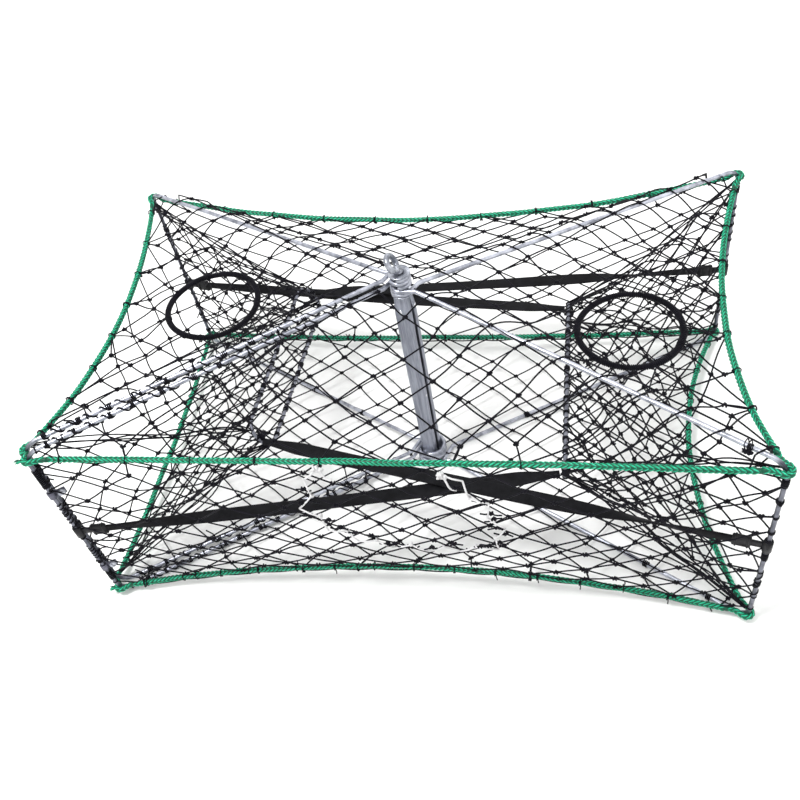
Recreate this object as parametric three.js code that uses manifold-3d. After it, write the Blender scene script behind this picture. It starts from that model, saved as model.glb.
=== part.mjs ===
// Folding crab trap: five bent rod leaves hinged on one centre post, like the pages of a book,
// with rope edges, netting panels, two funnel entrances, stretch straps and sewn-in rings.
// Millimetres, +Z up. The origin is on the hinge axis, at the floor; +X is the trap's right end,
// and -Y is its front.
import * as THREE from 'three';
import { mergeVertices } from 'three/addons/utils/BufferGeometryUtils.js';
import Module from 'manifold-3d';

// ---------------------------------------------------------------- driving dimensions
const REACH = 520;            // hinge axis to the middle of a corner rod
const ROD = 3;                // radius of the leaf rod
const TOP_ROD_Z = 338;        // middle of a top arm at its corner
const BEND = 22;              // bend radius at a leaf's corners
const PITCH = 6.3;            // height of one eye in the stack
const LOWEST_TOP_EYE_Z = 357.5; // middle of the lowest eye above the post
const GAP = 0.3;              // clearance between pieces that touch
const SLIP = 0.5;             // clearance of a band or washer around a faceted rod
const SIDES = 8;              // sides of a round rod

// Facets of the other round pieces, and the columns and rows of the thin plates.
const FACETS = {
  washer: 16, bolt: 12, liftingEye: 20, band: 12, screw: 14, wire: 6, mouth: 18, ring: 24, hole: 20,
};
const CELLS = { fan: [6, 6], wall: [4, 10], strap: [16, 1] };

// Leaves in their order round the hinge, counter-clockwise from the front left corner. A leaf's
// place is that of its eyes in the two stacks, from their foot up.
const LEAVES = [
  { name: 'leaf_front_left', angle: -148.9, place: 2 },
  { name: 'leaf_front_right', angle: -30.2, place: 1 },
  { name: 'leaf_back_right', angle: 30.2, place: 0 },
  { name: 'leaf_back_left', angle: 149.8, place: 3 },
  { name: 'leaf_closing', angle: 209.3, place: 4 },
];
// A leaf's end eyes: their radius to the middle of the rod, and where the arm leaves them. The
// top ones turn on the bolt, and the bottom ones go round the outside of the post.
const EYES = { top: { bend: 12, armStart: 24 }, bottom: { bend: 20, armStart: 34 } };

const NUT = { height: 5, across: 17 };
const WASHER = { radius: 15, thickness: 1.5 };
const BOLT = { radius: 6, foot: 1.5 };
const LIFTING_EYE = { bend: 11, radius: 4, lean: 28, lift: 0.8 };
const POST = { side: 23, wall: 2, slot: 6, turn: -20 };

const ROPE = { radius: 4.7, sides: 6, steps: 10 };
const KNOT = { bend: 9.6, steps: 7, sweep: 215 };
// How far each rope's middle is pulled in towards the post, and how far towards mid height.
const ROPE_PULL = {
  top: [
    { inward: 30, rise: -35 },
    { inward: 40, rise: -24 },
    { inward: 34, rise: -34 },
    { inward: 26, rise: -24 },
  ],
  bottom: [
    { inward: 38, rise: 22 },
    { inward: 59, rise: 14 },
    { inward: 35, rise: 24 },
    { inward: 17, rise: 12 },
  ],
};

const NET = { thickness: 0.7, inset: 44, middleBow: 0.12, ropeGap: 3 };
// A top or bottom panel: angle kept from its leaves, and its outer edge's share and inset.
const FAN = { hub: 46, angle: 14, trim: 0.05, scale: 0.965, drop: 2 };
// A funnel: its wide end's shares of the ropes and scale, and where it stops in the mouth frame.
const FUNNEL = {
  points: 24, steps: 5, wall: 0.1, trim: 0.06, scaleX: 0.955, scaleY: 0.96, stop: 0.985, rimGap: 4.5,
};
const MOUTH = { reach: 155, half: 25, wire: 2.5, z: 170 };
const MOUTHS = {
  right: { x: 212, y: 0, lean: 0, yaw: 0 },
  left: { x: -213, y: 46, lean: 31, yaw: -3 },
};
const RING = { radius: 64.5, wire: 3, z: 326, netGap: 1.5 };
const RINGS = { right: { x: 291, y: -47 }, left: { x: -276, y: 9 } };

const STRAP = { width: 22, thickness: 1.8, start: 40, stop: 7, twist: 0.3 };
// Each strap runs from a hook on one leaf's corner rod to one end of a mouth frame.
const STRAPS = [
  { name: 'strap_front_left', leaf: 0, z: 165, mouth: 'right', end: -1 },
  { name: 'strap_front_right', leaf: 1, z: 179, mouth: 'left', end: -1 },
  { name: 'strap_back_right', leaf: 2, z: 150, mouth: 'left', end: 1 },
  { name: 'strap_back_left', leaf: 3, z: 141, mouth: 'right', end: 1 },
];
const HOOK = { band: 2, height: 20, tongue: 35, plate: 3 };
const CLAMP = { wall: 2, height: 12, lug: 14, heights: [72, 252] };
const SCREW = { head: 5.5, cap: 3, slot: 1.4, slotDepth: 1.2, out: 12.5 };
// The access opening's laced edge: down its left side, along its foot and up its right side.
const LACE = { radius: 1.5, zigzag: 7, spacing: 21, out: 4.5 };
const LACE_EDGE = [[-92, 288], [-108, 218], [-48, 166], [28, 148], [124, 156], [128, 214], [74, 286]];

// ---------------------------------------------------------------- small helpers
const deg = (a) => THREE.MathUtils.degToRad(a);
const lerp = THREE.MathUtils.lerp;
const point = (x, y, z) => new THREE.Vector3(x, y, z);
const ARMS = LEAVES.length;
const PLATE_SLOPE_STEP = 0.02; // share of a plate over which its slope is taken
const FLOOR_ROD_Z = ROD * Math.cos(Math.PI / SIDES); // a bottom arm rests on its lowest facet

/** A point at distance s from the hinge axis, turned by an angle in degrees, t to its left. */
function polar(angle, s, z = 0, t = 0) {
  const a = deg(angle);
  return point(s * Math.cos(a) - t * Math.sin(a), s * Math.sin(a) + t * Math.cos(a), z);
}

/** A route through a list of points, one step between each two of them. */
class Route extends THREE.Curve {
  constructor(points) {
    super();
    this.points = points;
  }

  getPoint(u, target = new THREE.Vector3()) {
    const last = this.points.length - 1;
    const at = Math.min(Math.max(u, 0), 1) * last;
    const i = Math.min(Math.floor(at), last - 1);
    return target.lerpVectors(this.points[i], this.points[i + 1], at - i);
  }

  getPointAt(u, target) {
    return this.getPoint(u, target);
  }

  getTangentAt(u, target = new THREE.Vector3()) {
    const half = 0.5 / (this.points.length - 1);
    return target.subVectors(this.getPoint(u + half), this.getPoint(u - half)).normalize();
  }
}

function circle(radius, sides) {
  const corners = Array.from({ length: sides }, (_, i) => {
    const a = ((i + 0.5) / sides) * 2 * Math.PI;
    return new THREE.Vector2(radius * Math.cos(a), radius * Math.sin(a));
  });
  return new THREE.Shape(corners);
}

/** A round bar along a route. */
function bar(points, radius, sides = SIDES) {
  return new THREE.ExtrudeGeometry(circle(radius, sides), {
    extrudePath: new Route(points),
    steps: points.length - 1,
    bevelEnabled: false,
  });
}

/** An upright prism from z to z + height. */
function prism(shape, z, height) {
  const solid = new THREE.ExtrudeGeometry(shape, { depth: height, bevelEnabled: false });
  return solid.translate(0, 0, z);
}

/** Points of an arc in the plane of two directions. */
function arc(centre, a, b, radius, from, to, steps) {
  return Array.from({ length: steps + 1 }, (_, i) => {
    const turn = deg(lerp(from, to, i / steps));
    const out = centre.clone().addScaledVector(a, radius * Math.cos(turn));
    return out.addScaledVector(b, radius * Math.sin(turn));
  });
}

/** Splits the squares of a box's back face along the same diagonals as its front face's. */
function matchDiagonals(box) {
  const { start, count } = box.groups[5];
  const corners = box.index.array;
  for (let n = start; n < start + count; n += 6) {
    const [a, b, d, , c] = corners.slice(n, n + 6);
    corners.set([a, b, c, a, c, d], n);
  }
}

/** A thin plate, such as netting: at(u, v) gives its middle surface. */
function plate(at, columns, rows, thickness = NET.thickness) {
  const solid = new THREE.BoxGeometry(1, 1, 1, columns, rows, 1);
  matchDiagonals(solid);
  const place = solid.attributes.position;
  const step = PLATE_SLOPE_STEP;
  for (let i = 0; i < place.count; i += 1) {
    const u = place.getX(i) + 0.5;
    const v = place.getY(i) + 0.5;
    const along = at(u + step, v).sub(at(u - step, v));
    const across = at(u, v + step).sub(at(u, v - step));
    const normal = along.cross(across).normalize();
    const p = at(u, v).addScaledVector(normal, place.getZ(i) * thickness);
    place.setXYZ(i, p.x, p.y, p.z);
  }
  return solid;
}

const wasm = await Module();
wasm.setup();

function toManifold(geometry) {
  const bare = geometry.clone();
  bare.deleteAttribute('normal');
  bare.deleteAttribute('uv');
  const merged = mergeVertices(bare, 1e-4);
  return new wasm.Manifold(new wasm.Mesh({
    numProp: 3,
    vertProperties: new Float32Array(merged.attributes.position.array),
    triVerts: new Uint32Array(merged.index.array),
  }));
}

function fromManifold(solid) {
  const mesh = solid.getMesh();
  const geometry = new THREE.BufferGeometry();
  geometry.setAttribute('position', new THREE.BufferAttribute(mesh.vertProperties, 3));
  geometry.setIndex(new THREE.BufferAttribute(mesh.triVerts, 1));
  geometry.computeVertexNormals();
  return geometry;
}

const joined = (...pieces) => fromManifold(pieces.map(toManifold).reduce((a, b) => a.add(b)));
const cut = (piece, tool) => fromManifold(toManifold(piece).subtract(toManifold(tool)));

// ---------------------------------------------------------------- materials
const material = (color, roughness, metalness) =>
  new THREE.MeshStandardMaterial({ color, roughness, metalness });
const FINISH = {
  galvanised: () => material(0xb9bdc6, 0.35, 1),
  steel: () => material(0x9aa0ac, 0.4, 1),
  rope: () => material(0x129458, 0.6, 0),
  twine: () => material(0x14141a, 0.7, 0),
  rubber: () => material(0x101014, 0.6, 0),
  lace: () => material(0xeeeeea, 0.8, 0),
};

const trap = new THREE.Group();

function add(name, geometry, finish) {
  const mesh = new THREE.Mesh(geometry, FINISH[finish]());
  mesh.name = name;
  trap.add(mesh);
  return mesh;
}

// ---------------------------------------------------------------- heights of the hinge stack
const baseWasherZ = NUT.height + GAP;
const postFootZ = baseWasherZ + WASHER.thickness + GAP;
const lowestEyeZ = ROD + GAP;
const upperWasherZ = LOWEST_TOP_EYE_Z - ROD - GAP - WASHER.thickness;
const postHeadZ = upperWasherZ - GAP;
const topWasherZ = LOWEST_TOP_EYE_Z + PITCH * (ARMS - 1) + ROD + GAP;
const boltHeadZ = topWasherZ + WASHER.thickness;

/** Height of a leaf's top or bottom eye. */
function eyeZ(level, k) {
  const lowest = level === 'top' ? LOWEST_TOP_EYE_Z : lowestEyeZ;
  return lowest + PITCH * LEAVES[k].place;
}

// ---------------------------------------------------------------- leaves
const EYE_START = 50;
const EYE_END = 300;
const EYE_STEPS = 10;
const BEND_STEPS = 5;

/** One eye, from its cut end to where the arm leaves it. */
function eyePoints(level, k) {
  const { bend, armStart } = EYES[level];
  const { angle } = LEAVES[k];
  const z = eyeZ(level, k);
  const side = polar(angle, 0, 0, 1);
  const ring = arc(point(0, 0, z), polar(angle, 1), side, bend, EYE_START, EYE_END, EYE_STEPS);
  return [...ring, polar(angle, armStart, z)];
}

function cornerPoints(angle, z, from, to) {
  const up = point(0, 0, 1);
  return arc(polar(angle, REACH - BEND, z), polar(angle, 1), up, BEND, from, to, BEND_STEPS);
}

/** One leaf: a single rod, eye - top arm - corner rod - bottom arm - eye. */
function leafRod({ angle }, k) {
  return bar([
    ...eyePoints('top', k),
    ...cornerPoints(angle, TOP_ROD_Z - BEND, 90, 0),
    ...cornerPoints(angle, FLOOR_ROD_Z + BEND, 0, -90),
    ...eyePoints('bottom', k).reverse(),
  ], ROD);
}

LEAVES.forEach((leaf, k) => add(leaf.name, leafRod(leaf, k), 'galvanised'));

// ---------------------------------------------------------------- hinge post, bolt, washers, nut
/** A lipped steel channel, folded so that a slot runs down one side. */
function channelShape() {
  const h = POST.side / 2;
  const w = h - POST.wall;
  const s = POST.slot / 2;
  return new THREE.Shape([
    [h, s], [h, h], [-h, h], [-h, -h], [h, -h], [h, -s],
    [w, -s], [w, -w], [-w, -w], [-w, w], [w, w], [w, s],
  ].map(([x, y]) => new THREE.Vector2(x, y)));
}

function ringShape(outer, inner, sides, innerSides = sides) {
  const shape = circle(outer, sides);
  shape.holes.push(circle(inner, innerSides));
  return shape;
}

function washer(z) {
  return prism(ringShape(WASHER.radius, BOLT.radius + SLIP, FACETS.washer), z, WASHER.thickness);
}

/** The eye at the bolt's head, leaning a little to the left. */
function liftingEye() {
  const { bend, radius, lean, lift } = LIFTING_EYE;
  const ring = new THREE.TorusGeometry(bend, radius, SIDES, FACETS.liftingEye);
  ring.rotateY(deg(90)).translate(0, 0, bend + radius);
  return ring.rotateY(deg(-lean)).translate(0, 0, boltHeadZ + lift);
}

const post = prism(channelShape(), postFootZ, postHeadZ - postFootZ);
add('centre_post', post.rotateZ(deg(POST.turn)), 'steel');
const shank = prism(circle(BOLT.radius, FACETS.bolt), BOLT.foot, boltHeadZ - BOLT.foot);
add('hinge_bolt', shank, 'galvanised');
add('lifting_eye', liftingEye(), 'galvanised');
[baseWasherZ, upperWasherZ, topWasherZ].forEach((z, i) => {
  add(`washer_${i + 1}`, washer(z), 'galvanised');
});
const nutRadius = NUT.across / Math.sqrt(3);
const nutShape = ringShape(nutRadius, BOLT.radius + SLIP, 6, FACETS.bolt);
add('base_nut', prism(nutShape, 0, NUT.height), 'galvanised');

// ---------------------------------------------------------------- ropes
const ROPE_START = 9;
const LEVELS = { top: TOP_ROD_Z - BEND / 2, bottom: FLOOR_ROD_Z + BEND / 2 };
const PANELS = ['front', 'right', 'back', 'left'];

/** The middle line of a rope edge: from leaf i's corner to the next leaf's, u from 0 to 1. */
function ropeAt(level, i, u) {
  const a = polar(LEAVES[i].angle, REACH);
  const b = polar(LEAVES[i + 1].angle, REACH);
  const pull = ROPE_PULL[level][i];
  const sag = 4 * u * (1 - u);
  const p = a.clone().lerp(b, u);
  const inward = point(-(a.x + b.x), -(a.y + b.y), 0).normalize();
  p.addScaledVector(inward, pull.inward * sag);
  p.z = LEVELS[level] + pull.rise * sag;
  return p;
}

function ropeEdge(level, i) {
  const span = ropeAt(level, i, 0).distanceTo(ropeAt(level, i, 1));
  const trim = (ROD + ROPE.radius + ROPE_START) / span;
  const points = Array.from({ length: ROPE.steps + 1 }, (_, n) =>
    ropeAt(level, i, lerp(trim, 1 - trim, n / ROPE.steps)));
  return bar(points, ROPE.radius, ROPE.sides);
}

/** The rope's turn around the outside of a leaf's corner rod. */
function cornerTurn(level, k) {
  const angle = LEAVES[k].angle;
  const centre = polar(angle, REACH, LEVELS[level]);
  const half = KNOT.sweep / 2;
  const side = k === 0 ? -half / 2 : k === ARMS - 1 ? half / 2 : 0;
  const sweep = side === 0 ? half : half / 2;
  return bar(arc(centre, polar(angle, 1), polar(angle, 0, 0, 1), KNOT.bend,
    -side - sweep, -side + sweep, KNOT.steps), ROPE.radius, ROPE.sides);
}

for (const level of ['top', 'bottom']) {
  PANELS.forEach((panel, i) => add(`rope_${level}_${panel}`, ropeEdge(level, i), 'rope'));
  LEAVES.forEach((leaf, k) => {
    add(`rope_turn_${level}_${leaf.name.slice('leaf_'.length)}`, cornerTurn(level, k), 'rope');
  });
}

// ---------------------------------------------------------------- netting
/** Height of a leaf's arm at distance s from the hinge axis. */
function armZ(level, k, s) {
  const corner = level === 'top' ? TOP_ROD_Z : FLOOR_ROD_Z;
  return lerp(eyeZ(level, k), corner, Math.min(s / (REACH - BEND), 1));
}

/** A top or bottom panel: u runs between two leaves, v from the hub out to the rope. */
function fanAt(level, i, u, v) {
  const outer = ropeAt(level, i, lerp(FAN.trim, 1 - FAN.trim, u));
  const side = level === 'top' ? -1 : 1;
  outer.z += side * (ROPE.radius + FAN.drop);
  outer.multiply(point(FAN.scale, FAN.scale, 1));
  const angle = lerp(LEAVES[i].angle + FAN.angle, LEAVES[i + 1].angle - FAN.angle, u);
  const hubZ = lerp(armZ(level, i, FAN.hub), armZ(level, i + 1, FAN.hub), u);
  return polar(angle, FAN.hub, hubZ).lerp(outer, v);
}

const fan = (level, i) => plate((u, v) => fanAt(level, i, v, u), ...CELLS.fan);

/** The hole that an entrance ring is sewn into. */
function ringHole(side) {
  const { x, y } = RINGS[side];
  const radius = RING.radius + RING.wire + RING.netGap;
  return prism(circle(radius, FACETS.hole), 0, REACH).translate(x, y, TOP_ROD_Z / 2);
}

const panelWidth = (i) => ropeAt('top', i, 0).distanceTo(ropeAt('top', i, 1));

/** Where a place x across and z up falls on a front or back panel. */
function wallShare(i, x, z) {
  const trim = NET.inset / panelWidth(i);
  const along = 0.5 + x / panelWidth(i);
  const low = ropeAt('bottom', i, along).z;
  const high = ropeAt('top', i, along).z;
  return [(along - trim) / (1 - 2 * trim), (z - low) / (high - low)];
}

/** A front or back panel: u between the corner rods, v from the bottom rope to the top rope. */
function wallAt(i, u, v) {
  const trim = NET.inset / panelWidth(i);
  const along = lerp(trim, 1 - trim, u);
  const low = ropeAt('bottom', i, along);
  const high = ropeAt('top', i, along);
  const inset = (ROPE.radius + NET.ropeGap) / TOP_ROD_Z;
  const p = low.lerp(high, lerp(inset, 1 - inset, v));
  const straight = ropeAt('bottom', i, 0).lerp(ropeAt('bottom', i, 1), along);
  const share = lerp(NET.middleBow, 1, (2 * v - 1) ** 2);
  p.y = lerp(straight.y, p.y, share);
  return p;
}

PANELS.forEach((panel, i) => {
  const roof = fan('top', i);
  add(`net_top_${panel}`, panel in RINGS ? cut(roof, ringHole(panel)) : roof, 'twine');
  add(`net_bottom_${panel}`, fan('bottom', i), 'twine');
});
add('net_front', plate((u, v) => wallAt(0, v, u), ...CELLS.wall), 'twine');
add('net_back', plate((u, v) => wallAt(2, v, u), ...CELLS.wall), 'twine');

// ---------------------------------------------------------------- funnels and mouth frames
/** Turns a mouth frame's own plane (y across, z up, x out of it) into the trap's frame. */
function mouthPlace(side, y, z, x = 0) {
  const mouth = MOUTHS[side];
  const p = point(x, y, z).applyAxisAngle(point(0, 1, 0), deg(-mouth.lean));
  p.applyAxisAngle(point(0, 0, 1), deg(mouth.yaw));
  return p.add(point(mouth.x, mouth.y, MOUTH.z));
}

/** A point of the mouth's outline, just inside its wire. */
function mouthRim(side, a) {
  const inner = MOUTH.half - MOUTH.wire - FUNNEL.rimGap;
  const straight = MOUTH.reach - MOUTH.half;
  const y = inner * Math.cos(a) + straight * Math.sign(Math.cos(a));
  return mouthPlace(side, y, inner * Math.sin(a));
}

/** A point of the funnel's wide end: inside the corner rods and the two end ropes. */
function endRim(side, a) {
  const i = side === 'right' ? 1 : 3;
  const flip = side === 'right' ? 1 : -1;
  const reachOut = 1 / Math.max(Math.abs(Math.cos(a)), Math.abs(Math.sin(a)));
  const y = flip * Math.cos(a) * reachOut;
  const z = Math.sin(a) * reachOut;
  const u = lerp(FUNNEL.trim, 1 - FUNNEL.trim, (y + 1) / 2);
  const low = ropeAt('bottom', i, u);
  const high = ropeAt('top', i, u);
  const p = low.lerp(high, lerp(FUNNEL.trim, 1 - FUNNEL.trim, (z + 1) / 2));
  return p.multiply(point(FUNNEL.scaleX, FUNNEL.scaleY, 1));
}

/** The netting funnel: a tube of net that narrows from the trap's end to the mouth frame. */
function funnel(side) {
  const shape = ringShape(1, 1 - FUNNEL.wall, FUNNEL.points);
  const steps = { depth: 1, steps: FUNNEL.steps, bevelEnabled: false };
  const solid = new THREE.ExtrudeGeometry(shape, steps);
  const place = solid.attributes.position;
  for (let n = 0; n < place.count; n += 1) {
    const x = place.getX(n);
    const y = place.getY(n);
    const a = Math.atan2(y, x);
    const inside = (1 - Math.hypot(x, y)) / FUNNEL.wall;
    const t = side === 'right' ? 1 - place.getZ(n) : place.getZ(n);
    const p = endRim(side, a).lerp(mouthRim(side, a), t * FUNNEL.stop);
    const core = point(p.x, MOUTHS[side].y, MOUTH.z);
    const shrink = core.sub(p).normalize().multiplyScalar(NET.thickness * inside);
    place.setXYZ(n, p.x + shrink.x, p.y + shrink.y, p.z + shrink.z);
  }
  return solid;
}

/** A wire loop with straight long sides: a ring pulled apart at its middle. */
function mouthFrame(side) {
  const ring = new THREE.TorusGeometry(MOUTH.half, MOUTH.wire, FACETS.wire, FACETS.mouth);
  const place = ring.attributes.position;
  const straight = MOUTH.reach - MOUTH.half;
  for (let n = 0; n < place.count; n += 1) {
    const y = place.getX(n) + straight * Math.sign(place.getX(n));
    const p = mouthPlace(side, y, place.getY(n), place.getZ(n));
    place.setXYZ(n, p.x, p.y, p.z);
  }
  return ring;
}

for (const side of ['right', 'left']) {
  add(`net_funnel_${side}`, funnel(side), 'twine');
  add(`mouth_frame_${side}`, mouthFrame(side), 'twine');
  const ring = new THREE.TorusGeometry(RING.radius, RING.wire, FACETS.wire, FACETS.ring);
  add(`ring_${side}`, ring.translate(RINGS[side].x, RINGS[side].y, RING.z), 'twine');
}

// ---------------------------------------------------------------- straps and their hooks
/** The two ends of a strap's middle line. */
function strapEnds({ leaf, z, mouth, end }) {
  const from = polar(LEAVES[leaf].angle, REACH, z);
  const to = mouthPlace(mouth, end * MOUTH.reach, 0);
  const way = to.clone().sub(from).normalize();
  return [from.addScaledVector(way, STRAP.start), to.addScaledVector(way, -STRAP.stop)];
}

function strap(spec) {
  const [from, to] = strapEnds(spec);
  const way = to.clone().sub(from).normalize();
  const side = point(-way.y, way.x, 0).normalize();
  return plate((u, v) => {
    const roll = deg(90) * Math.max(1 - u / STRAP.twist, 0);
    const across = side.clone().multiplyScalar(Math.cos(roll)).add(point(0, 0, Math.sin(roll)));
    return from.clone().lerp(to, u).addScaledVector(across, (v - 0.5) * STRAP.width);
  }, ...CELLS.strap, STRAP.thickness);
}

/** A band round the corner rod with a flat tongue that the strap is sewn to. */
function hook(spec) {
  const [start] = strapEnds(spec);
  const post = polar(LEAVES[spec.leaf].angle, REACH, spec.z);
  const aim = start.clone().sub(post);
  const inner = ROD + SLIP;
  const band = prism(ringShape(inner + HOOK.band, inner, FACETS.band), -HOOK.height / 2, HOOK.height);
  const tongue = new THREE.BoxGeometry(HOOK.tongue, HOOK.plate, STRAP.width);
  tongue.translate(inner + HOOK.band / 2 + HOOK.tongue / 2, 0, 0);
  const solid = joined(band, tongue);
  solid.rotateZ(Math.atan2(aim.y, aim.x));
  return solid.translate(post.x, post.y, post.z);
}

for (const spec of STRAPS) {
  add(spec.name, strap(spec), 'rubber');
  add(spec.name.replace('strap', 'hook'), hook(spec), 'rubber');
}

// ---------------------------------------------------------------- corner clamps with their screws
/** A split band round the front left corner rod; its two lugs point at the hinge. */
function clamp(z) {
  const inner = ROD + SLIP;
  const band = prism(ringShape(inner + CLAMP.wall, inner, FACETS.band), 0, CLAMP.height);
  const lug = new THREE.BoxGeometry(CLAMP.lug, 2 * CLAMP.wall, CLAMP.height);
  lug.translate(-(inner + CLAMP.wall / 2 + CLAMP.lug / 2), 0, CLAMP.height / 2);
  const solid = joined(band, lug).rotateZ(deg(LEAVES[0].angle));
  const place = polar(LEAVES[0].angle, REACH, z - CLAMP.height / 2);
  return solid.translate(place.x, place.y, place.z);
}

/** A slotted pan-head screw through the clamp's lugs. */
function clampScrew(z) {
  const head = prism(circle(SCREW.head, FACETS.screw), 0, SCREW.cap);
  const slot = new THREE.BoxGeometry(3 * SCREW.head, SCREW.slot, 2 * SCREW.slotDepth);
  slot.translate(0, 0, SCREW.cap);
  const screw = cut(head, slot);
  screw.rotateX(deg(90));
  screw.translate(-SCREW.out, -CLAMP.wall - GAP, 0);
  screw.rotateZ(deg(LEAVES[0].angle));
  const place = polar(LEAVES[0].angle, REACH, z);
  return screw.translate(place.x, place.y, place.z);
}

CLAMP.heights.forEach((z, i) => {
  const level = i === 0 ? 'lower' : 'upper';
  add(`corner_clamp_${level}`, clamp(z), 'galvanised');
  add(`clamp_screw_${level}`, clampScrew(z), 'galvanised');
});

// ---------------------------------------------------------------- lacing of the access opening
/** White twine that zigzags along three sides of the opening in the front panel, outside the net. */
function lacing() {
  const edge = new THREE.CatmullRomCurve3(LACE_EDGE.map(([x, z]) => point(x, 0, z)));
  const stitches = Math.round(edge.getLength() / LACE.spacing);
  const points = Array.from({ length: stitches + 1 }, (_, n) => {
    const p = edge.getPointAt(n / stitches);
    const along = edge.getTangentAt(n / stitches);
    const sideways = (n % 2 === 0 ? 1 : -1) * LACE.zigzag;
    p.add(point(-along.z, 0, along.x).multiplyScalar(sideways));
    return wallAt(0, ...wallShare(0, p.x, p.z)).add(point(0, -LACE.out, 0));
  });
  return bar(points, LACE.radius, 5);
}

add('access_lacing', lacing(), 'lace');

export default trap;
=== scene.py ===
"""Looks of the folding crab trap: galvanised rod leaves on a centre post, plaited rope edges,
knotted netting, two funnel entrances, elastic straps, sewn-in rings and a laced opening.
Lengths are millimetres until a mesh is made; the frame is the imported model's."""
import math
import random

import bpy
import numpy as np
from mathutils import Matrix, Vector, noise


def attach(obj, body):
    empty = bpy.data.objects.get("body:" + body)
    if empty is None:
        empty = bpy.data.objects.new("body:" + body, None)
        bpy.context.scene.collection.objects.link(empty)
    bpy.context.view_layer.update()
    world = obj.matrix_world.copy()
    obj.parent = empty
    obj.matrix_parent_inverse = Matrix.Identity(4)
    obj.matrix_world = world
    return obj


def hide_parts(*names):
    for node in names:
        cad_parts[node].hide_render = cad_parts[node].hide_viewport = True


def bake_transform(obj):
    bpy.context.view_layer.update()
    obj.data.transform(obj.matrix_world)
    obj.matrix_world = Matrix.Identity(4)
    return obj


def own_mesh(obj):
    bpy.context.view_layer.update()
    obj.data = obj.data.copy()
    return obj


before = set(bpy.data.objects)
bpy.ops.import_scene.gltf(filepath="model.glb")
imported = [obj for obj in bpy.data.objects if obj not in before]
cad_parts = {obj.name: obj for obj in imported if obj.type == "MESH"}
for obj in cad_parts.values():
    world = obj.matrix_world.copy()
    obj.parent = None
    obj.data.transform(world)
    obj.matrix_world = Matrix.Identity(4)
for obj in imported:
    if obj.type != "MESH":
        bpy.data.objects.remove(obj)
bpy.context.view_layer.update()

MM = 0.001
noise.seed_set(1)  # Blender otherwise draws its noise offsets from the clock

# ---------------------------------------------------------------- driving dimensions
REACH = 520
ROD = 3
TOP_ROD_Z = 338
FLOOR_ROD_Z = ROD * math.cos(math.pi / 8)
BEND = 22
PITCH = 6.3
LOWEST_TOP_EYE_Z = 357.5
GAP = 0.3
# radius of an eye, and where its arm leaves it
EYES = {"top": (12, 24), "bottom": (20, 34)}

LEAVES = [
    ("front_left", -148.9),
    ("front_right", -30.2),
    ("back_right", 30.2),
    ("back_left", 149.8),
    ("closing", 209.3),
]
# each leaf's place in the two stacks of eyes, from their foot up
PLACES = [2, 1, 0, 3, 4]
BODIES = [f"{name}_leaf" for name, _ in LEAVES]
ANGLES = [angle for _, angle in LEAVES]
PANELS = ["front", "right", "back", "left"]
LEVELS = {"top": TOP_ROD_Z - BEND / 2, "bottom": FLOOR_ROD_Z + BEND / 2}

NUT_HEIGHT, NUT_ACROSS = 5, 17
WASHER_RADIUS, WASHER_THICK = 15, 1.5
BOLT_RADIUS, BOLT_FOOT, BOLT_HOLE = 6, 1.5, 6.5
LIFT_BEND, LIFT_RADIUS, LIFT_LEAN, LIFT_RISE = 11, 4, 28, 0.8
POST_SIDE, POST_WALL, POST_SLOT, POST_TURN = 23, 2, 6, -20

ROPE = 4.6
ROPE_PULL = {
    "top": [(30, -35), (40, -24), (34, -34), (26, -24)],
    "bottom": [(38, 22), (59, 14), (35, 24), (17, 12)],
}
TWINE = 1.1
MOUTH_REACH, MOUTH_HALF, MOUTH_WIRE, MOUTH_Z = 155, 25, 2.5, 170
# x, y, lean and yaw of each mouth frame
MOUTHS = {"right": (212, 0, 0, 0), "left": (-213, 46, 31, -3)}
RING_RADIUS, RING_Z = 64.5, 326
RINGS = {"right": (291, -47), "left": (-276, 9)}
STRAP_WIDTH, STRAP_THICK, STRAP_START, STRAP_STOP, STRAP_TWIST = 22, 1.8, 40, 7, 0.3
# name, leaf, height of its hook, mouth frame, end of that frame
STRAPS = [
    ("front_left", 0, 165, "right", -1),
    ("front_right", 1, 179, "left", -1),
    ("back_right", 2, 150, "left", 1),
    ("back_left", 3, 141, "right", 1),
]
CLAMP_HEIGHTS = {"lower": 72, "upper": 252}
LACE_EDGE = [(-92, 288), (-108, 218), (-48, 166), (28, 148), (124, 156), (128, 214), (74, 286)]

# heights of the hinge stack, from the floor up
BASE_WASHER_Z = NUT_HEIGHT + GAP
POST_FOOT_Z = BASE_WASHER_Z + WASHER_THICK + GAP
LOWEST_EYE_Z = ROD + GAP
UPPER_WASHER_Z = LOWEST_TOP_EYE_Z - ROD - GAP - WASHER_THICK
POST_HEAD_Z = UPPER_WASHER_Z - GAP
TOP_WASHER_Z = LOWEST_TOP_EYE_Z + PITCH * (len(LEAVES) - 1) + ROD + GAP
BOLT_HEAD_Z = TOP_WASHER_Z + WASHER_THICK


# ---------------------------------------------------------------- small helpers
def vec(*xyz):
    return np.array(xyz, float)


def lerp(a, b, t):
    return a + (b - a) * t


def unit(v):
    return v / np.linalg.norm(v)


def smooth(t):
    t = min(max(t, 0.0), 1.0)
    return t * t * (3 - 2 * t)


def polar(angle, s, z=0.0, t=0.0):
    """A point at distance s from the hinge axis, turned by an angle in degrees, t to its left."""
    a = math.radians(angle)
    return vec(s * math.cos(a) - t * math.sin(a), s * math.sin(a) + t * math.cos(a), z)


def wobble(p, scale, size, seed):
    """A smooth random shift of a point."""
    return np.array(noise.noise_vector(Vector(p) * scale + Vector((seed, 0, 0)))) * size


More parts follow.
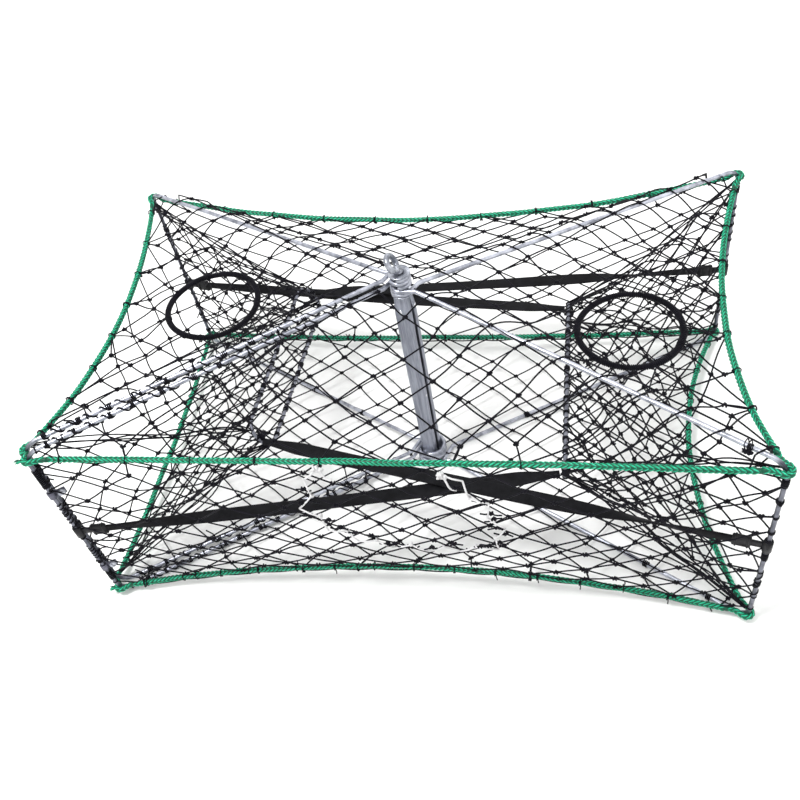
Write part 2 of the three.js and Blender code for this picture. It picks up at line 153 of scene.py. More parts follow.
def spline(points, per=6):
    """A smooth curve through points, with per steps between each two."""
    p = np.array([2 * points[0] - points[1], *points, 2 * points[-1] - points[-2]])
    t = np.linspace(0, 1, per, endpoint=False)[:, None]
    out = []
    for a, b, c, d in zip(p, p[1:], p[2:], p[3:]):
        out.append(0.5 * (2 * b + (c - a) * t + (2 * a - 5 * b + 4 * c - d) * t**2
                          + (3 * b - a - 3 * c + d) * t**3))
    return np.vstack([*out, points[-1]])


def arc(centre, a, b, radius, start, stop, steps):
    turn = np.radians(np.linspace(start, stop, steps + 1))[:, None]
    return centre + radius * (np.cos(turn) * a + np.sin(turn) * b)


def frames(path):
    """Two unit directions across a path at each of its points, carried along without twist."""
    tangent = np.gradient(path, axis=0)
    tangent /= np.linalg.norm(tangent, axis=1, keepdims=True)
    side = np.eye(3)[np.argmin(np.abs(tangent[0]))]
    first = np.empty_like(path)
    for n, t in enumerate(tangent):
        side = unit(side - t * side.dot(t))
        first[n] = side
    return first, np.cross(tangent, first), tangent


def length_along(path):
    return np.concatenate([[0], np.cumsum(np.linalg.norm(np.diff(path, axis=0), axis=1))])


class Yarn:
    """Tubes and skins gathered into one mesh, with UVs in millimetres along and turns around."""

    def __init__(self):
        self.points, self.loops, self.sizes, self.uvs = [], [], [], []
        self.count = 0

    def skin(self, rings, closed=False, caps=True, along=None):
        """A skin through rings of points, n by sides by 3; closed joins the last to the first."""
        n, sides, _ = rings.shape
        index = np.arange(n * sides).reshape(n, sides) + self.count
        if along is None:
            along = length_along(rings.mean(axis=1))
        if closed:
            index = np.vstack([index, index[:1]])
            along = np.append(along, along[-1] + along[1])
        after = np.roll(index, -1, axis=1)
        quads = np.stack([index[:-1], after[:-1], after[1:], index[1:]], axis=-1).reshape(-1, 4)
        low, high = np.meshgrid(along[:-1], np.arange(sides) / sides, indexing="ij")
        far = np.broadcast_to(along[1:, None], low.shape)
        turn = high + 1 / sides
        uv = np.stack([low, high, low, turn, far, turn, far, high], axis=-1).reshape(-1, 2)
        self.points.append(rings.reshape(-1, 3))
        self.loops.append(quads.ravel())
        self.sizes.append(np.full(len(quads), 4))
        self.uvs.append(uv)
        if caps and not closed:
            for ring in (index[0][::-1], index[-1]):
                self.loops.append(ring)
                self.sizes.append(np.array([sides]))
                self.uvs.append(np.zeros((sides, 2)))
        self.count += n * sides

    def tube(self, path, radius, sides=6, phase=0.0):
        path = np.asarray(path, float)
        a, b, _ = frames(path)
        turn = np.linspace(0, 2 * math.pi, sides, endpoint=False) + phase
        size = np.broadcast_to(radius, len(path))[:, None, None]
        ring = np.cos(turn)[None, :, None] * a[:, None] + np.sin(turn)[None, :, None] * b[:, None]
        self.skin(path[:, None] + size * ring, along=length_along(path))

    def lie_on_floor(self):
        """Presses flat what would otherwise go through the floor."""
        for points in self.points:
            points[:, 2] = np.maximum(points[:, 2], 0)

    def make(self, name, material):
        mesh = bpy.data.meshes.new(name)
        points = np.concatenate(self.points) * MM
        loops, sizes = np.concatenate(self.loops), np.concatenate(self.sizes)
        mesh.vertices.add(len(points))
        mesh.vertices.foreach_set("co", points.ravel())
        mesh.loops.add(len(loops))
        mesh.loops.foreach_set("vertex_index", loops.astype(np.int32))
        mesh.polygons.add(len(sizes))
        starts = np.concatenate([[0], np.cumsum(sizes)[:-1]])
        mesh.polygons.foreach_set("loop_start", starts.astype(np.int32))
        mesh.polygons.foreach_set("loop_total", sizes.astype(np.int32))
        mesh.polygons.foreach_set("use_smooth", np.ones(len(sizes), bool))
        mesh.uv_layers.new(name="UVMap").data.foreach_set("uv", np.concatenate(self.uvs).ravel())
        mesh.update(calc_edges=True)
        mesh.validate()
        mesh.materials.append(material)
        piece = bpy.data.objects.new(name, mesh)
        bpy.context.collection.objects.link(piece)
        return piece


def add(name, yarn, material, body, slot, *nodes):
    """Makes a piece that rides on one body."""
    yarn.lie_on_floor()
    piece = yarn.make(name, material)
    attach(piece, body)
    if nodes:
        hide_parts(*nodes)
    return piece


def azimuths(xy, panel):
    """Angles about the hinge axis in degrees, unwrapped around a panel's middle."""
    middle = (ANGLES[panel] + ANGLES[panel + 1]) / 2
    angle = np.degrees(np.arctan2(xy[:, 1], xy[:, 0]))
    return middle + (angle - middle + 180) % 360 - 180


FOLLOW_BEYOND = 0.4


def add_between(name, yarn, material, panel, slot, *nodes):
    """Makes a piece between the two leaves of a panel, its points baked into the world frame. Each
    point's share of the angle between the two leaves is worked out, but nothing uses it."""
    yarn.lie_on_floor()
    piece = yarn.make(name, material)
    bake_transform(piece)
    points = np.empty(len(piece.data.vertices) * 3)
    piece.data.vertices.foreach_get("co", points)
    angle = azimuths(points.reshape(-1, 3)[:, :2], panel)
    share = (angle - ANGLES[panel]) / (ANGLES[panel + 1] - ANGLES[panel])
    share = np.clip(share, -FOLLOW_BEYOND, 1 + FOLLOW_BEYOND).astype(np.float32)
    if nodes:
        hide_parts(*nodes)
    return piece


# ---------------------------------------------------------------- materials
def node_material(name, **sockets):
    """A Principled material with its constant sockets set, and its node tree."""
    material = bpy.data.materials.new(name)
    material.use_nodes = True
    shader = material.node_tree.nodes["Principled BSDF"]
    for key, value in sockets.items():
        shader.inputs[key.replace("_", " ")].default_value = value
    return material, material.node_tree, shader


def node(tree, kind, **values):
    made = tree.nodes.new(kind)
    for key, value in values.items():
        if hasattr(made, key):
            setattr(made, key, value)
        else:
            made.inputs[key.replace("_", " ")].default_value = value
    return made


def coordinates(tree, output="Object", scale=(1, 1, 1)):
    source = node(tree, "ShaderNodeTexCoord")
    mapping = node(tree, "ShaderNodeMapping", Scale=scale)
    tree.links.new(source.outputs[output], mapping.inputs["Vector"])
    return mapping.outputs["Vector"]


def grain(tree, where, scale, detail=3.0, roughness=0.5):
    made = node(tree, "ShaderNodeTexNoise", Scale=scale, Detail=detail, Roughness=roughness)
    tree.links.new(where, made.inputs["Vector"])
    return made.outputs["Fac"]


def ramp(tree, factor, *stops):
    """A colour ramp: each stop is a place from 0 to 1 and a colour."""
    made = node(tree, "ShaderNodeValToRGB")
    points = made.color_ramp.elements
    while len(points) < len(stops):
        points.new(0.5)
    for point, (place, colour) in zip(points, stops):
        point.position = place
        point.color = (*colour, 1)
    tree.links.new(factor, made.inputs["Fac"])
    return made.outputs["Color"]


# A Mix node repeats its socket names for each data type, so its colour sockets go by number.
MIX_FACTOR, MIX_FIRST, MIX_SECOND, MIX_RESULT = 0, 6, 7, 2


def multiply(tree, first, second):
    made = node(tree, "ShaderNodeMix", data_type="RGBA", blend_type="MULTIPLY")
    made.inputs[MIX_FACTOR].default_value = 1.0
    tree.links.new(first, made.inputs[MIX_FIRST])
    tree.links.new(second, made.inputs[MIX_SECOND])
    return made.outputs[MIX_RESULT]


def add_heights(tree, first, second):
    made = node(tree, "ShaderNodeMath", operation="ADD")
    tree.links.new(first, made.inputs[0])
    tree.links.new(second, made.inputs[1])
    return made.outputs["Value"]


def to_range(tree, factor, low, high):
    made = node(tree, "ShaderNodeMapRange")
    made.inputs["To Min"].default_value = low
    made.inputs["To Max"].default_value = high
    tree.links.new(factor, made.inputs["Value"])
    return made.outputs["Result"]


def bump(tree, shader, height, distance, strength=1.0):
    made = node(tree, "ShaderNodeBump", Distance=distance, Strength=strength)
    tree.links.new(height, made.inputs["Height"])
    tree.links.new(made.outputs["Normal"], shader.inputs["Normal"])


def zinc(name, bright, dull, shine=0.3, streak=(1, 1, 1), painted_shade_beyond=None):
    """Hot-dip zinc: pale patches, soft scratches along the drawn wire and fine pitting. Beyond a
    distance from the hinge axis it is darkened: painted shade for the dark room the corner rods
    reflect."""
    material, tree, shader = node_material(name, Metallic=0.85, Specular_IOR_Level=0.6)
    where = coordinates(tree, scale=streak)
    patches = grain(tree, where, 60, 4, 0.6)
    colour = ramp(tree, patches, (0.3, dull), (0.62, bright))
    # Painted shade: beyond this distance from the hinge axis, on the corner rods, the colour is
    # multiplied down to about a third.
    if painted_shade_beyond:
        reach = node(tree, "ShaderNodeVectorMath", operation="LENGTH")
        tree.links.new(coordinates(tree, scale=(1, 1, 0)), reach.inputs[0])
        tone = ramp(tree, reach.outputs["Value"], (painted_shade_beyond - 0.01, (1, 1, 1)),
                    (painted_shade_beyond, (0.3, 0.3, 0.32)))
        colour = multiply(tree, colour, tone)
    tree.links.new(colour, shader.inputs["Base Color"])
    scratches = grain(tree, where, 420, 5, 0.7)
    tree.links.new(to_range(tree, scratches, shine, shine + 0.3), shader.inputs["Roughness"])
    bump(tree, shader, scratches, 0.0002, 0.5)
    return material


def plied(name, dark, light, rough, sheen, turns, distance, specular=0.5):
    """Twisted twine: slanting plies that follow each strand, fibres and a little wear."""
    material, tree, shader = node_material(
        name, Sheen_Weight=sheen, Sheen_Roughness=0.4, Specular_IOR_Level=specular)
    along = coordinates(tree, "UV", scale=(turns, 2, 1))
    slant = node(tree, "ShaderNodeTexWave", wave_type="BANDS", bands_direction="DIAGONAL",
                 Scale=1.0, Distortion=0.4)
    tree.links.new(along, slant.inputs["Vector"])
    fibres = grain(tree, coordinates(tree), 900, 4, 0.7)
    worn = grain(tree, coordinates(tree), 35, 3, 0.6)
    tree.links.new(ramp(tree, worn, (0.35, dark), (0.75, light)), shader.inputs["Base Color"])
    tree.links.new(to_range(tree, fibres, rough - 0.12, rough + 0.2), shader.inputs["Roughness"])
    bump(tree, shader, add_heights(tree, slant.outputs["Fac"], fibres), distance, 0.8)
    return material


def rope_plastic():
    """Plaited polyethylene film: glossy emerald, with painted shade on the stitches' inward faces
    and on the core.
    """
    material, tree, shader = node_material("rope_green", Specular_IOR_Level=0.35)
    where = coordinates(tree)
    tone = grain(tree, where, 260, 4, 0.6)
    colour = ramp(tree, tone, (0.3, (0.0, 0.30, 0.13)), (0.55, (0.01, 0.62, 0.33)),
                  (0.75, (0.09, 0.88, 0.57)))
    # Painted shade: round each stitch's section the colour falls to 0.14 of itself on the side
    # facing the core, and the core gets that dark tone.
    split = node(tree, "ShaderNodeSeparateXYZ")
    tree.links.new(coordinates(tree, "UV"), split.inputs["Vector"])
    around = ramp(tree, split.outputs["Y"], (0.0, (1, 1, 1)), (0.22, (0.14, 0.14, 0.14)),
                  (0.78, (0.14, 0.14, 0.14)), (1.0, (1, 1, 1)))
    tree.links.new(multiply(tree, colour, around), shader.inputs["Base Color"])
    fibres = grain(tree, coordinates(tree, "UV", scale=(0.6, 14, 1)), 3, 3, 0.6)
    tree.links.new(to_range(tree, fibres, 0.25, 0.5), shader.inputs["Roughness"])
    bump(tree, shader, fibres, 0.0004, 0.7)
    return material


def webbing():
    """Black elastic strap: close ribs across its length and a dull sheen."""
    material, tree, shader = node_material("strap_webbing", Specular_IOR_Level=0.14)
    ribs = node(tree, "ShaderNodeTexWave", wave_type="BANDS", bands_direction="X", Scale=0.28,
                Distortion=0.8)
    tree.links.new(coordinates(tree, "UV"), ribs.inputs["Vector"])
    cloud = grain(tree, coordinates(tree), 70, 5, 0.65)
    colour = ramp(tree, cloud, (0.35, (0.003, 0.003, 0.004)), (0.8, (0.014, 0.014, 0.017)))
    tree.links.new(colour, shader.inputs["Base Color"])
    tree.links.new(to_range(tree, cloud, 0.45, 0.75), shader.inputs["Roughness"])
    bump(tree, shader, add_heights(tree, ribs.outputs["Fac"], cloud), 0.0005, 0.8)
    return material


def moulded(name, dark, light, rough):
    """Black plastic or tape: faint mould texture and handling marks."""
    material, tree, shader = node_material(name, Specular_IOR_Level=0.22)
    where = coordinates(tree)
    tone = grain(tree, where, 90, 4, 0.6)
    tree.links.new(ramp(tree, tone, (0.35, dark), (0.8, light)), shader.inputs["Base Color"])
    fine = grain(tree, where, 700, 3, 0.6)
    tree.links.new(to_range(tree, fine, rough - 0.1, rough + 0.15), shader.inputs["Roughness"])
    bump(tree, shader, fine, 0.0002, 0.6)
    return material


def paper_white():
    """The floor and backdrop: plain near-white, with the faintest mottling."""
    material, tree, shader = node_material("studio_floor", Roughness=0.9, Specular_IOR_Level=0.1)
    cloud = grain(tree, coordinates(tree), 2.0, 2, 0.5)
    colour = ramp(tree, cloud, (0.3, (0.93, 0.93, 0.92)), (0.7, (0.95, 0.95, 0.94)))
    tree.links.new(colour, shader.inputs["Base Color"])
    return material


# The rod zinc is darkened beyond 0.515 m from the hinge axis: painted shade on the corner rods.
ZINC_ROD = zinc("zinc_rod", (0.60, 0.62, 0.70), (0.17, 0.18, 0.22), 0.16, painted_shade_beyond=0.515)
ZINC_PARTS = zinc("zinc_parts", (0.52, 0.54, 0.60), (0.10, 0.11, 0.14), 0.14)
POST_STEEL = zinc("post_steel", (0.40, 0.42, 0.49), (0.20, 0.21, 0.26), 0.24, (4, 4, 0.35))
MOUTH_STEEL = zinc("mouth_steel", (0.30, 0.31, 0.36), (0.10, 0.10, 0.13), 0.3)
BRIGHT_ZINC = zinc("bright_zinc", (0.95, 0.95, 1.0), (0.75, 0.76, 0.80), 0.1)
CLAMP_STEEL = zinc("clamp_steel", (0.16, 0.16, 0.20), (0.04, 0.04, 0.06), 0.3)
ROPE_GREEN = rope_plastic()
BLACK_TWINE = plied("twine_black", (0.002, 0.002, 0.005), (0.008, 0.007, 0.013), 0.5, 0.0, 0.5,
                    0.0006, 0.16)
WHITE_TWINE = plied("twine_white", (0.84, 0.83, 0.84), (0.97, 0.97, 0.98), 0.75, 0.4, 0.6,
                    0.0008)
WEBBING = webbing()
BLACK_PLASTIC = moulded("hook_plastic", (0.003, 0.003, 0.004), (0.014, 0.014, 0.017), 0.4)


# ---------------------------------------------------------------- where things lie
def eye_z(level, k):
    """Height of leaf k's eye in the top or bottom stack."""
    return (LOWEST_TOP_EYE_Z if level == "top" else LOWEST_EYE_Z) + PITCH * PLACES[k]


def arm_z(level, k, s):
    corner = TOP_ROD_Z if level == "top" else FLOOR_ROD_Z
    return lerp(eye_z(level, k), corner, min(s / (REACH - BEND), 1))


def rope_at(level, i, u):
    """The middle of a rope edge, u from 0 at leaf i's corner to 1 at the next leaf's."""
    a, b = polar(ANGLES[i], REACH), polar(ANGLES[i + 1], REACH)
    inward, rise = ROPE_PULL[level][i]
    sag = 4 * u * (1 - u)
    p = lerp(a, b, u) + unit(-(a + b)) * inward * sag
    p[2] = LEVELS[level] + rise * sag
    return p


def rope_axis(level, i, u):
    return unit(rope_at(level, i, u + 0.01) - rope_at(level, i, u - 0.01))


SHARES = np.linspace(0, 1, 121)
ROPE_ANGLES = {
    (level, i): azimuths(np.array([rope_at(level, i, u)[:2] for u in SHARES]), i)
    for level in LEVELS
    for i in range(4)
}


def turn_of(x, y):
    """Angle about the hinge axis, from the first leaf's to the last one's."""
    angle = math.degrees(math.atan2(y, x))
    seam = (ANGLES[0] + ANGLES[4] - 360) / 2
    return angle + 360 if angle < seam else angle


def sector_of(angle):
    return sum(angle >= stop for stop in ANGLES[1:4])


def mouth_place(side, y, z):
    """Turns a mouth frame's own plane, y across and z up, into the trap's frame."""
    x0, y0, lean, yaw = MOUTHS[side]
    turn = Matrix.Rotation(math.radians(yaw), 3, "Z") @ Matrix.Rotation(math.radians(-lean), 3, "Y")
    return np.array(turn @ Vector((0, y, z))) + vec(x0, y0, MOUTH_Z)


# ---------------------------------------------------------------- twine work
def hitch(yarn, centre, axis, radius, rng, turns=1.6, tail=0.0, size=TWINE):
    """Twine turned tightly round a rod or rope, with an optional cut end."""
    a, b, _ = frames(np.array([centre, centre + axis]))
    a, b = a[0], b[0]
    t = np.linspace(0, 1, int(8 * turns) + 3)
    start = rng.uniform(0, 2 * math.pi)
    turn = (start + 2 * math.pi * turns * t)[:, None]
    grip = radius + size * (0.8 + 0.25 * np.sin(3 * turn))
    path = centre + axis * ((t - 0.5) * 2.1 * size * turns)[:, None]
    path = path + grip * (np.cos(turn) * a + np.sin(turn) * b)
    if tail:
        out = unit(path[-1] - centre)
        across = unit(path[-1] - path[-2])
        curl = axis * rng.uniform(-0.6, 0.6)
        path = np.vstack([path, path[-1] + tail * 0.5 * (0.6 * out + across),
                          path[-1] + tail * (0.9 * out + across + curl)])
    yarn.tube(path, size, 5)


def knot(yarn, at, along, rng, size=2.7, twine=1.3):
    """A sheet bend: one strand's bight, with the other turned round its neck."""
    a, b, _ = frames(np.array([at, at + along]))
    a, b = a[0], b[0]
    t = np.linspace(0, 1, 11)[:, None]
    turn = rng.uniform(0, 6.28) + 2 * math.pi * 1.35 * t
    wrap = at + along * (t - 0.5) * size * 1.9 + size * 0.8 * (np.cos(turn) * a + np.sin(turn) * b)
    yarn.tube(wrap, twine, 5)
    bend = rng.uniform(0.8, 1.2) * math.pi * t
    lean = unit(a * rng.uniform(-1, 1) + b)
    bight = at + size * 1.15 * (np.cos(bend) * unit(along + 0.4 * a) + np.sin(bend) * lean)
    yarn.tube(bight - lean * size * 0.6, twine, 5)


def strand(yarn, points, rng, slack=2.0, size=TWINE, sides=6):
    """One mesh bar, a little slack."""
    points = np.asarray(points, float)
    t = np.linspace(0, 1, len(points))[:, None]
    drift = wobble(points[0] + points[-1], 0.03, slack, rng.uniform(0, 50))
    yarn.tube(points + np.sin(math.pi * t) * drift, size, sides)


def edge_crossing(a, b, inside):
    """The last place inside, on the way from a, which is inside, to b, which isn't."""
    low, high = 0.0, 1.0
    for _ in range(14):
        middle = (low + high) / 2
        if inside(lerp(a, b, middle)):
            low = middle
        else:
            high = middle
    return low


def inside_runs(a, b, inside):
    """The stretches of a straight bar that lie inside, each as its two shares of the bar."""
    marks = np.linspace(0, 1, 9)
    state = [inside(lerp(a, b, t)) for t in marks]
    runs, start = [], 0.0 if state[0] else None
    for n in range(1, len(marks)):
        p, q = lerp(a, b, marks[n - 1]), lerp(a, b, marks[n])
        if state[n - 1] and not state[n]:
            stop = lerp(marks[n - 1], marks[n], edge_crossing(p, q, inside))
            runs.append((start, stop))
        if state[n] and not state[n - 1]:
            start = lerp(marks[n], marks[n - 1], edge_crossing(q, p, inside))
    if state[-1]:
        runs.append((start, 1.0))
    return [run for run in runs if run[1] - run[0] > 0.04]


def lattice(width, height, half_x, half_y, seed):
    """Knots of a diamond net over a width and height, pulled about a little, by their column
    and row."""
    rng = random.Random(seed)
    knots = {}
    columns, rows = int(width / 2 / half_x) + 2, int(height / 2 / half_y) + 2
    for i in range(-columns, columns + 1):
        for j in range(-rows, rows + 1):
            if (i + j) % 2:
                continue
            p = vec((i + 0.3) * half_x, (j + 0.4) * half_y, 0)
            p += wobble(p, 0.006, 0.34 * half_x, seed) + wobble(p, 0.02, 0.2 * half_y, seed + 9)
            knots[i, j] = p[:2] + vec(rng.uniform(-1, 1), rng.uniform(-1, 1)) * 1.6
    return knots


TIE_TWINE = 0.8


class Ties:
    """Places where netting is fastened: each is hitched once, however many bars reach it."""

    def __init__(self):
        self.made = set()
        self.rng = random.Random(17)

    def fasten(self, yarn, key, centre, axis, radius, knotted=True):
        if key not in self.made:
            self.made.add(key)
            hitch(yarn, centre, axis, radius, self.rng, self.rng.choice((1.1, 1.5)), 0.0, TIE_TWINE)
            if knotted:
                lean = unit(vec(self.rng.uniform(-1, 1), self.rng.uniform(-1, 1), -0.9))
                lean = unit(lean - axis * lean.dot(axis))
                knot(yarn, centre + lean * (radius + TWINE), axis, self.rng, 1.8, TIE_TWINE)
        return centre


TIES = Ties()
ROPE_TIES = [80, 62, 80, 62]
ROD_TIES = 30


def tie_to_rope(yarn, level, i, u):
    """Fastens to the nearest of the places spaced along a rope edge."""
    span = np.linalg.norm(rope_at(level, i, 0) - rope_at(level, i, 1))
    count = round(span / ROPE_TIES[i])
    n = min(int(u * count), count - 1)
    at = (n + 0.5) / count
    return TIES.fasten(yarn, (level, i, n), rope_at(level, i, at), rope_axis(level, i, at), ROPE)


def tie_to_corner(yarn, k, z):
    n = round(z / ROD_TIES)
    centre = polar(ANGLES[k], REACH, min(max(n * ROD_TIES, 26), TOP_ROD_Z - 26))
    return TIES.fasten(yarn, ("corner", k, n), centre, vec(0, 0, 1), ROD, n % 3 == 0)


def weave(knots, yarn_for, place, inside, fasten, seed, slack=2.2):
    """Works a diamond net: place puts a flat point on the panel, inside says where the panel is,
    and fasten ties a bar's cut end to what bounds the panel and gives the place."""
    rng = random.Random(seed)
    for (i, j), a in knots.items():
        for step in (1, -1):
            b = knots.get((i + 1, j + step))
            if b is None:
                continue
            for start, stop in inside_runs(a, b, inside):
                steps = 8 if stop - start > 0.5 else 5
                points = np.array([place(lerp(a, b, s)) for s in np.linspace(start, stop, steps)])
                yarn = yarn_for(lerp(a, b, (start + stop) / 2))
                share = np.linspace(0, 1, steps)[:, None]
                if start > 0:
                    points = points + (fasten(yarn, lerp(a, b, start)) - points[0]) * (1 - share)
                if stop < 1:
                    points = points + (fasten(yarn, lerp(a, b, stop)) - points[-1]) * share
                strand(yarn, points, rng, slack * (stop - start))
        if inside(a):
            along = place(a + vec(4, 0)) - place(a - vec(4, 0))
            knot(yarn_for(a), place(a), unit(along), rng)


# ---------------------------------------------------------------- rods
def bar_eye(level, k):
    """One eye, from its cut end to where the arm leaves it."""
    bend, arm_start = EYES[level]
    angle, z = ANGLES[k], eye_z(level, k)
    loop = arc(vec(0, 0, z), polar(angle, 1), polar(angle, 0, 0, 1), bend, 50, 300, 26)
    return np.vstack([loop, polar(angle, arm_start, z)])


def leaf_path(k):
    """The rod of leaf k: eye, top arm, corner rod, bottom arm, eye."""
    angle, up = ANGLES[k], vec(0, 0, 1)
    out = polar(angle, 1)
    top = arc(polar(angle, REACH - BEND, TOP_ROD_Z - BEND), out, up, BEND, 90, 0, 12)
    low = arc(polar(angle, REACH - BEND, FLOOR_ROD_Z + BEND), out, up, BEND, 0, -90, 12)
    high_eye, low_eye = bar_eye("top", k), bar_eye("bottom", k)
    parts = [high_eye]
    for a, b in ((high_eye[-1], top[0]), (top[-1], low[0]), (low[-1], low_eye[-1])):
        run = [lerp(a, b, t) for t in np.linspace(0, 1, 14)[1:-1]]
        bow = [wobble(p, 0.008, 0.5, k) * vec(1, 1, 0) for p in run]
        parts.append(np.array(run) + np.array(bow))
        parts.append({0: top, 1: low, 2: low_eye[::-1]}[len(parts) // 2 - 1])
    return np.vstack(parts)


def make_leaves():
    for k, (name, _) in enumerate(LEAVES):
        yarn = Yarn()
        yarn.tube(leaf_path(k), ROD, 16)
        add(f"rod_{name}", yarn, ZINC_ROD, BODIES[k], "galvanised_rod", f"leaf_{name}")


def lathe(yarn, profile, sides, z=0.0, centre=(0, 0)):
    """A ring or disc turned from a closed profile of (radius, height), outside going up."""
    turn = np.linspace(0, 2 * math.pi, sides, endpoint=False)
    rings = [[(centre[0] + r * math.cos(a), centre[1] + r * math.sin(a), z + h) for a in turn]
             for r, h in profile]
    yarn.skin(np.array(rings, float), closed=True)


def rounded(inner, outer, height, edge=0.4):
    """The profile of a flat ring with softened edges."""
    return [(inner, edge), (inner + edge, 0), (outer - edge, 0), (outer, edge),
            (outer, height - edge), (outer - edge, height), (inner + edge, height),
            (inner, height - edge)]


def make_washers():
    heights = [BASE_WASHER_Z, UPPER_WASHER_Z, TOP_WASHER_Z]
    for n, z in enumerate(heights):
        yarn = Yarn()
        lathe(yarn, rounded(BOLT_HOLE, WASHER_RADIUS, WASHER_THICK), 40, z)
        add(f"plate_washer_{n + 1}", yarn, ZINC_PARTS, BODIES[0], "zinc_hardware",
            f"washer_{n + 1}")


def make_nut():
    """A hexagon nut with its corners turned down top and bottom."""
    yarn = Yarn()
    sides = 48
    turn = np.linspace(0, 2 * math.pi, sides, endpoint=False)
    flat = NUT_ACROSS / 2 / np.cos((turn + math.pi / 6) % (math.pi / 3) - math.pi / 6)
    rings = []
    for chamfer, z in ((1, 0), (0, 1.2), (0, NUT_HEIGHT - 1.2), (1, NUT_HEIGHT)):
        radius = np.minimum(flat, lerp(99.0, NUT_ACROSS / 2 * 1.02, chamfer))
        rings.append(np.stack([radius * np.cos(turn), radius * np.sin(turn), turn * 0 + z], axis=1))
    for z in (NUT_HEIGHT, 0):
        rings.append(np.stack([BOLT_HOLE * np.cos(turn), BOLT_HOLE * np.sin(turn), turn * 0 + z],
                              axis=1))
    yarn.skin(np.array(rings), closed=True)
    piece = add("hexagon_nut", yarn, ZINC_PARTS, BODIES[0], "zinc_hardware", "base_nut")
    piece.data.polygons.foreach_set("use_smooth", np.zeros(len(piece.data.polygons), bool))


THREAD_DEPTH, THREAD_TOP_Z = 0.45, 40


def make_eye_bolt():
    """The bolt through the stack, threaded at its foot, ending in the lifting eye."""
    yarn = Yarn()
    shank = [vec(0, 0, z) for z in np.arange(BOLT_FOOT, BOLT_HEAD_Z + 3, 1.0)]
    thread = [BOLT_RADIUS - THREAD_DEPTH * (n % 2) * (p[2] < THREAD_TOP_Z)
              for n, p in enumerate(shank)]
    yarn.tube(shank, np.array(thread), 24)
    lean = math.radians(LIFT_LEAN)
    up = vec(-math.sin(lean), 0, math.cos(lean))
    foot = vec(0, 0, BOLT_HEAD_Z + LIFT_RISE)
    ring = arc(foot + up * (LIFT_BEND + LIFT_RADIUS), vec(0, 1, 0), up, LIFT_BEND, -90, 262, 44)
    ring[-4:, 0] += np.linspace(0.3, 1.4, 4)
    yarn.tube(ring, LIFT_RADIUS, 16)
    add("lifting_eye_bolt", yarn, ZINC_PARTS, BODIES[0], "zinc_hardware", "hinge_bolt",
        "lifting_eye")


def channel_outline(pinch):
    """The lipped channel's closed outline with rounded folds; pinch draws its lips together."""
    h, w = POST_SIDE / 2, POST_SIDE / 2 - POST_WALL
    s = POST_SLOT / 2 * (1 - pinch)
    outline = []
    for x, y, start in ((h, h, 0), (-h, h, 90), (-h, -h, 180), (h, -h, 270)):
        fold = 3.0
        centre = vec(x - math.copysign(fold, x), y - math.copysign(fold, y))
        for a in np.radians(np.linspace(start, start + 90, 6)):
            outline.append(centre + fold * vec(math.cos(a), math.sin(a)))
    outer = [vec(h, s)] + outline + [vec(h, -s)]
    inner = [vec(w, -s), vec(w, -w), vec(-w, -w), vec(-w, w), vec(w, w), vec(w, s)]
    return np.array(outer + inner)


def make_post():
    """The folded channel between the two eye stacks, its head pinched in above the slot."""
    yarn = Yarn()
    turn = math.radians(POST_TURN)
    rotate = np.array([[math.cos(turn), math.sin(turn)], [-math.sin(turn), math.cos(turn)]])
    rings = []
    heights = [POST_FOOT_Z, POST_FOOT_Z + 1, *np.linspace(POST_FOOT_Z + 12, POST_HEAD_Z - 34, 8),
               *np.linspace(POST_HEAD_Z - 28, POST_HEAD_Z - 1, 8), POST_HEAD_Z]
    for z in heights:
        near_head = smooth((z - POST_HEAD_Z + 34) / 26)
        outline = channel_outline(0.8 * near_head) * vec(1 - 0.12 * near_head, 1 - 0.14 * near_head)
        rings.append([(*(p @ rotate), z) for p in outline])
    yarn.skin(np.array(rings))
    piece = add("post_channel", yarn, POST_STEEL, BODIES[0], "post_steel", "centre_post")
    piece.data.polygons.foreach_set("use_smooth", np.zeros(len(piece.data.polygons), bool))


def dome(yarn, centre, out, radius, height, sides=14):
    """A low domed button on a face."""
    a, b, _ = frames(np.array([centre, centre + out]))
    turn = np.linspace(0, 2 * math.pi, sides, endpoint=False)[:, None]
    around = np.cos(turn) * a[0] + np.sin(turn) * b[0]
    steps = [(1.0, -0.4), (1.0, 0.1), (0.86, 0.55), (0.6, 0.85), (0.3, 0.98), (0.05, 1.0)]
    rings = [centre + around * radius * r + out * height * h for r, h in steps]
    yarn.skin(np.array(rings))


MARK_Z = 156


def make_punch_marks():
    """The dimples in the post's pinched head, and the one beside its slot."""
    yarn = Yarn()
    half = POST_SIDE / 2
    front, slot_face = polar(POST_TURN, 0, 0, -1), polar(POST_TURN, 1)
    dome(yarn, polar(POST_TURN, -1, POST_HEAD_Z - 27, -half * 0.98), front, 2.4, 1.0)
    dome(yarn, polar(POST_TURN, half * 0.98, POST_HEAD_Z - 25, 7), slot_face, 2.4, 1.0)
    dome(yarn, polar(POST_TURN, half, MARK_Z, -POST_SLOT), slot_face, 1.6, 0.7)
    add("post_punch_marks", yarn, BRIGHT_ZINC, BODIES[0], "zinc_hardware")


# ---------------------------------------------------------------- ropes
STITCH_ROW = 6.4
STITCH_LONG = 9.0
STITCH_COLUMNS = 4
STITCH_LEAN = math.radians(38)


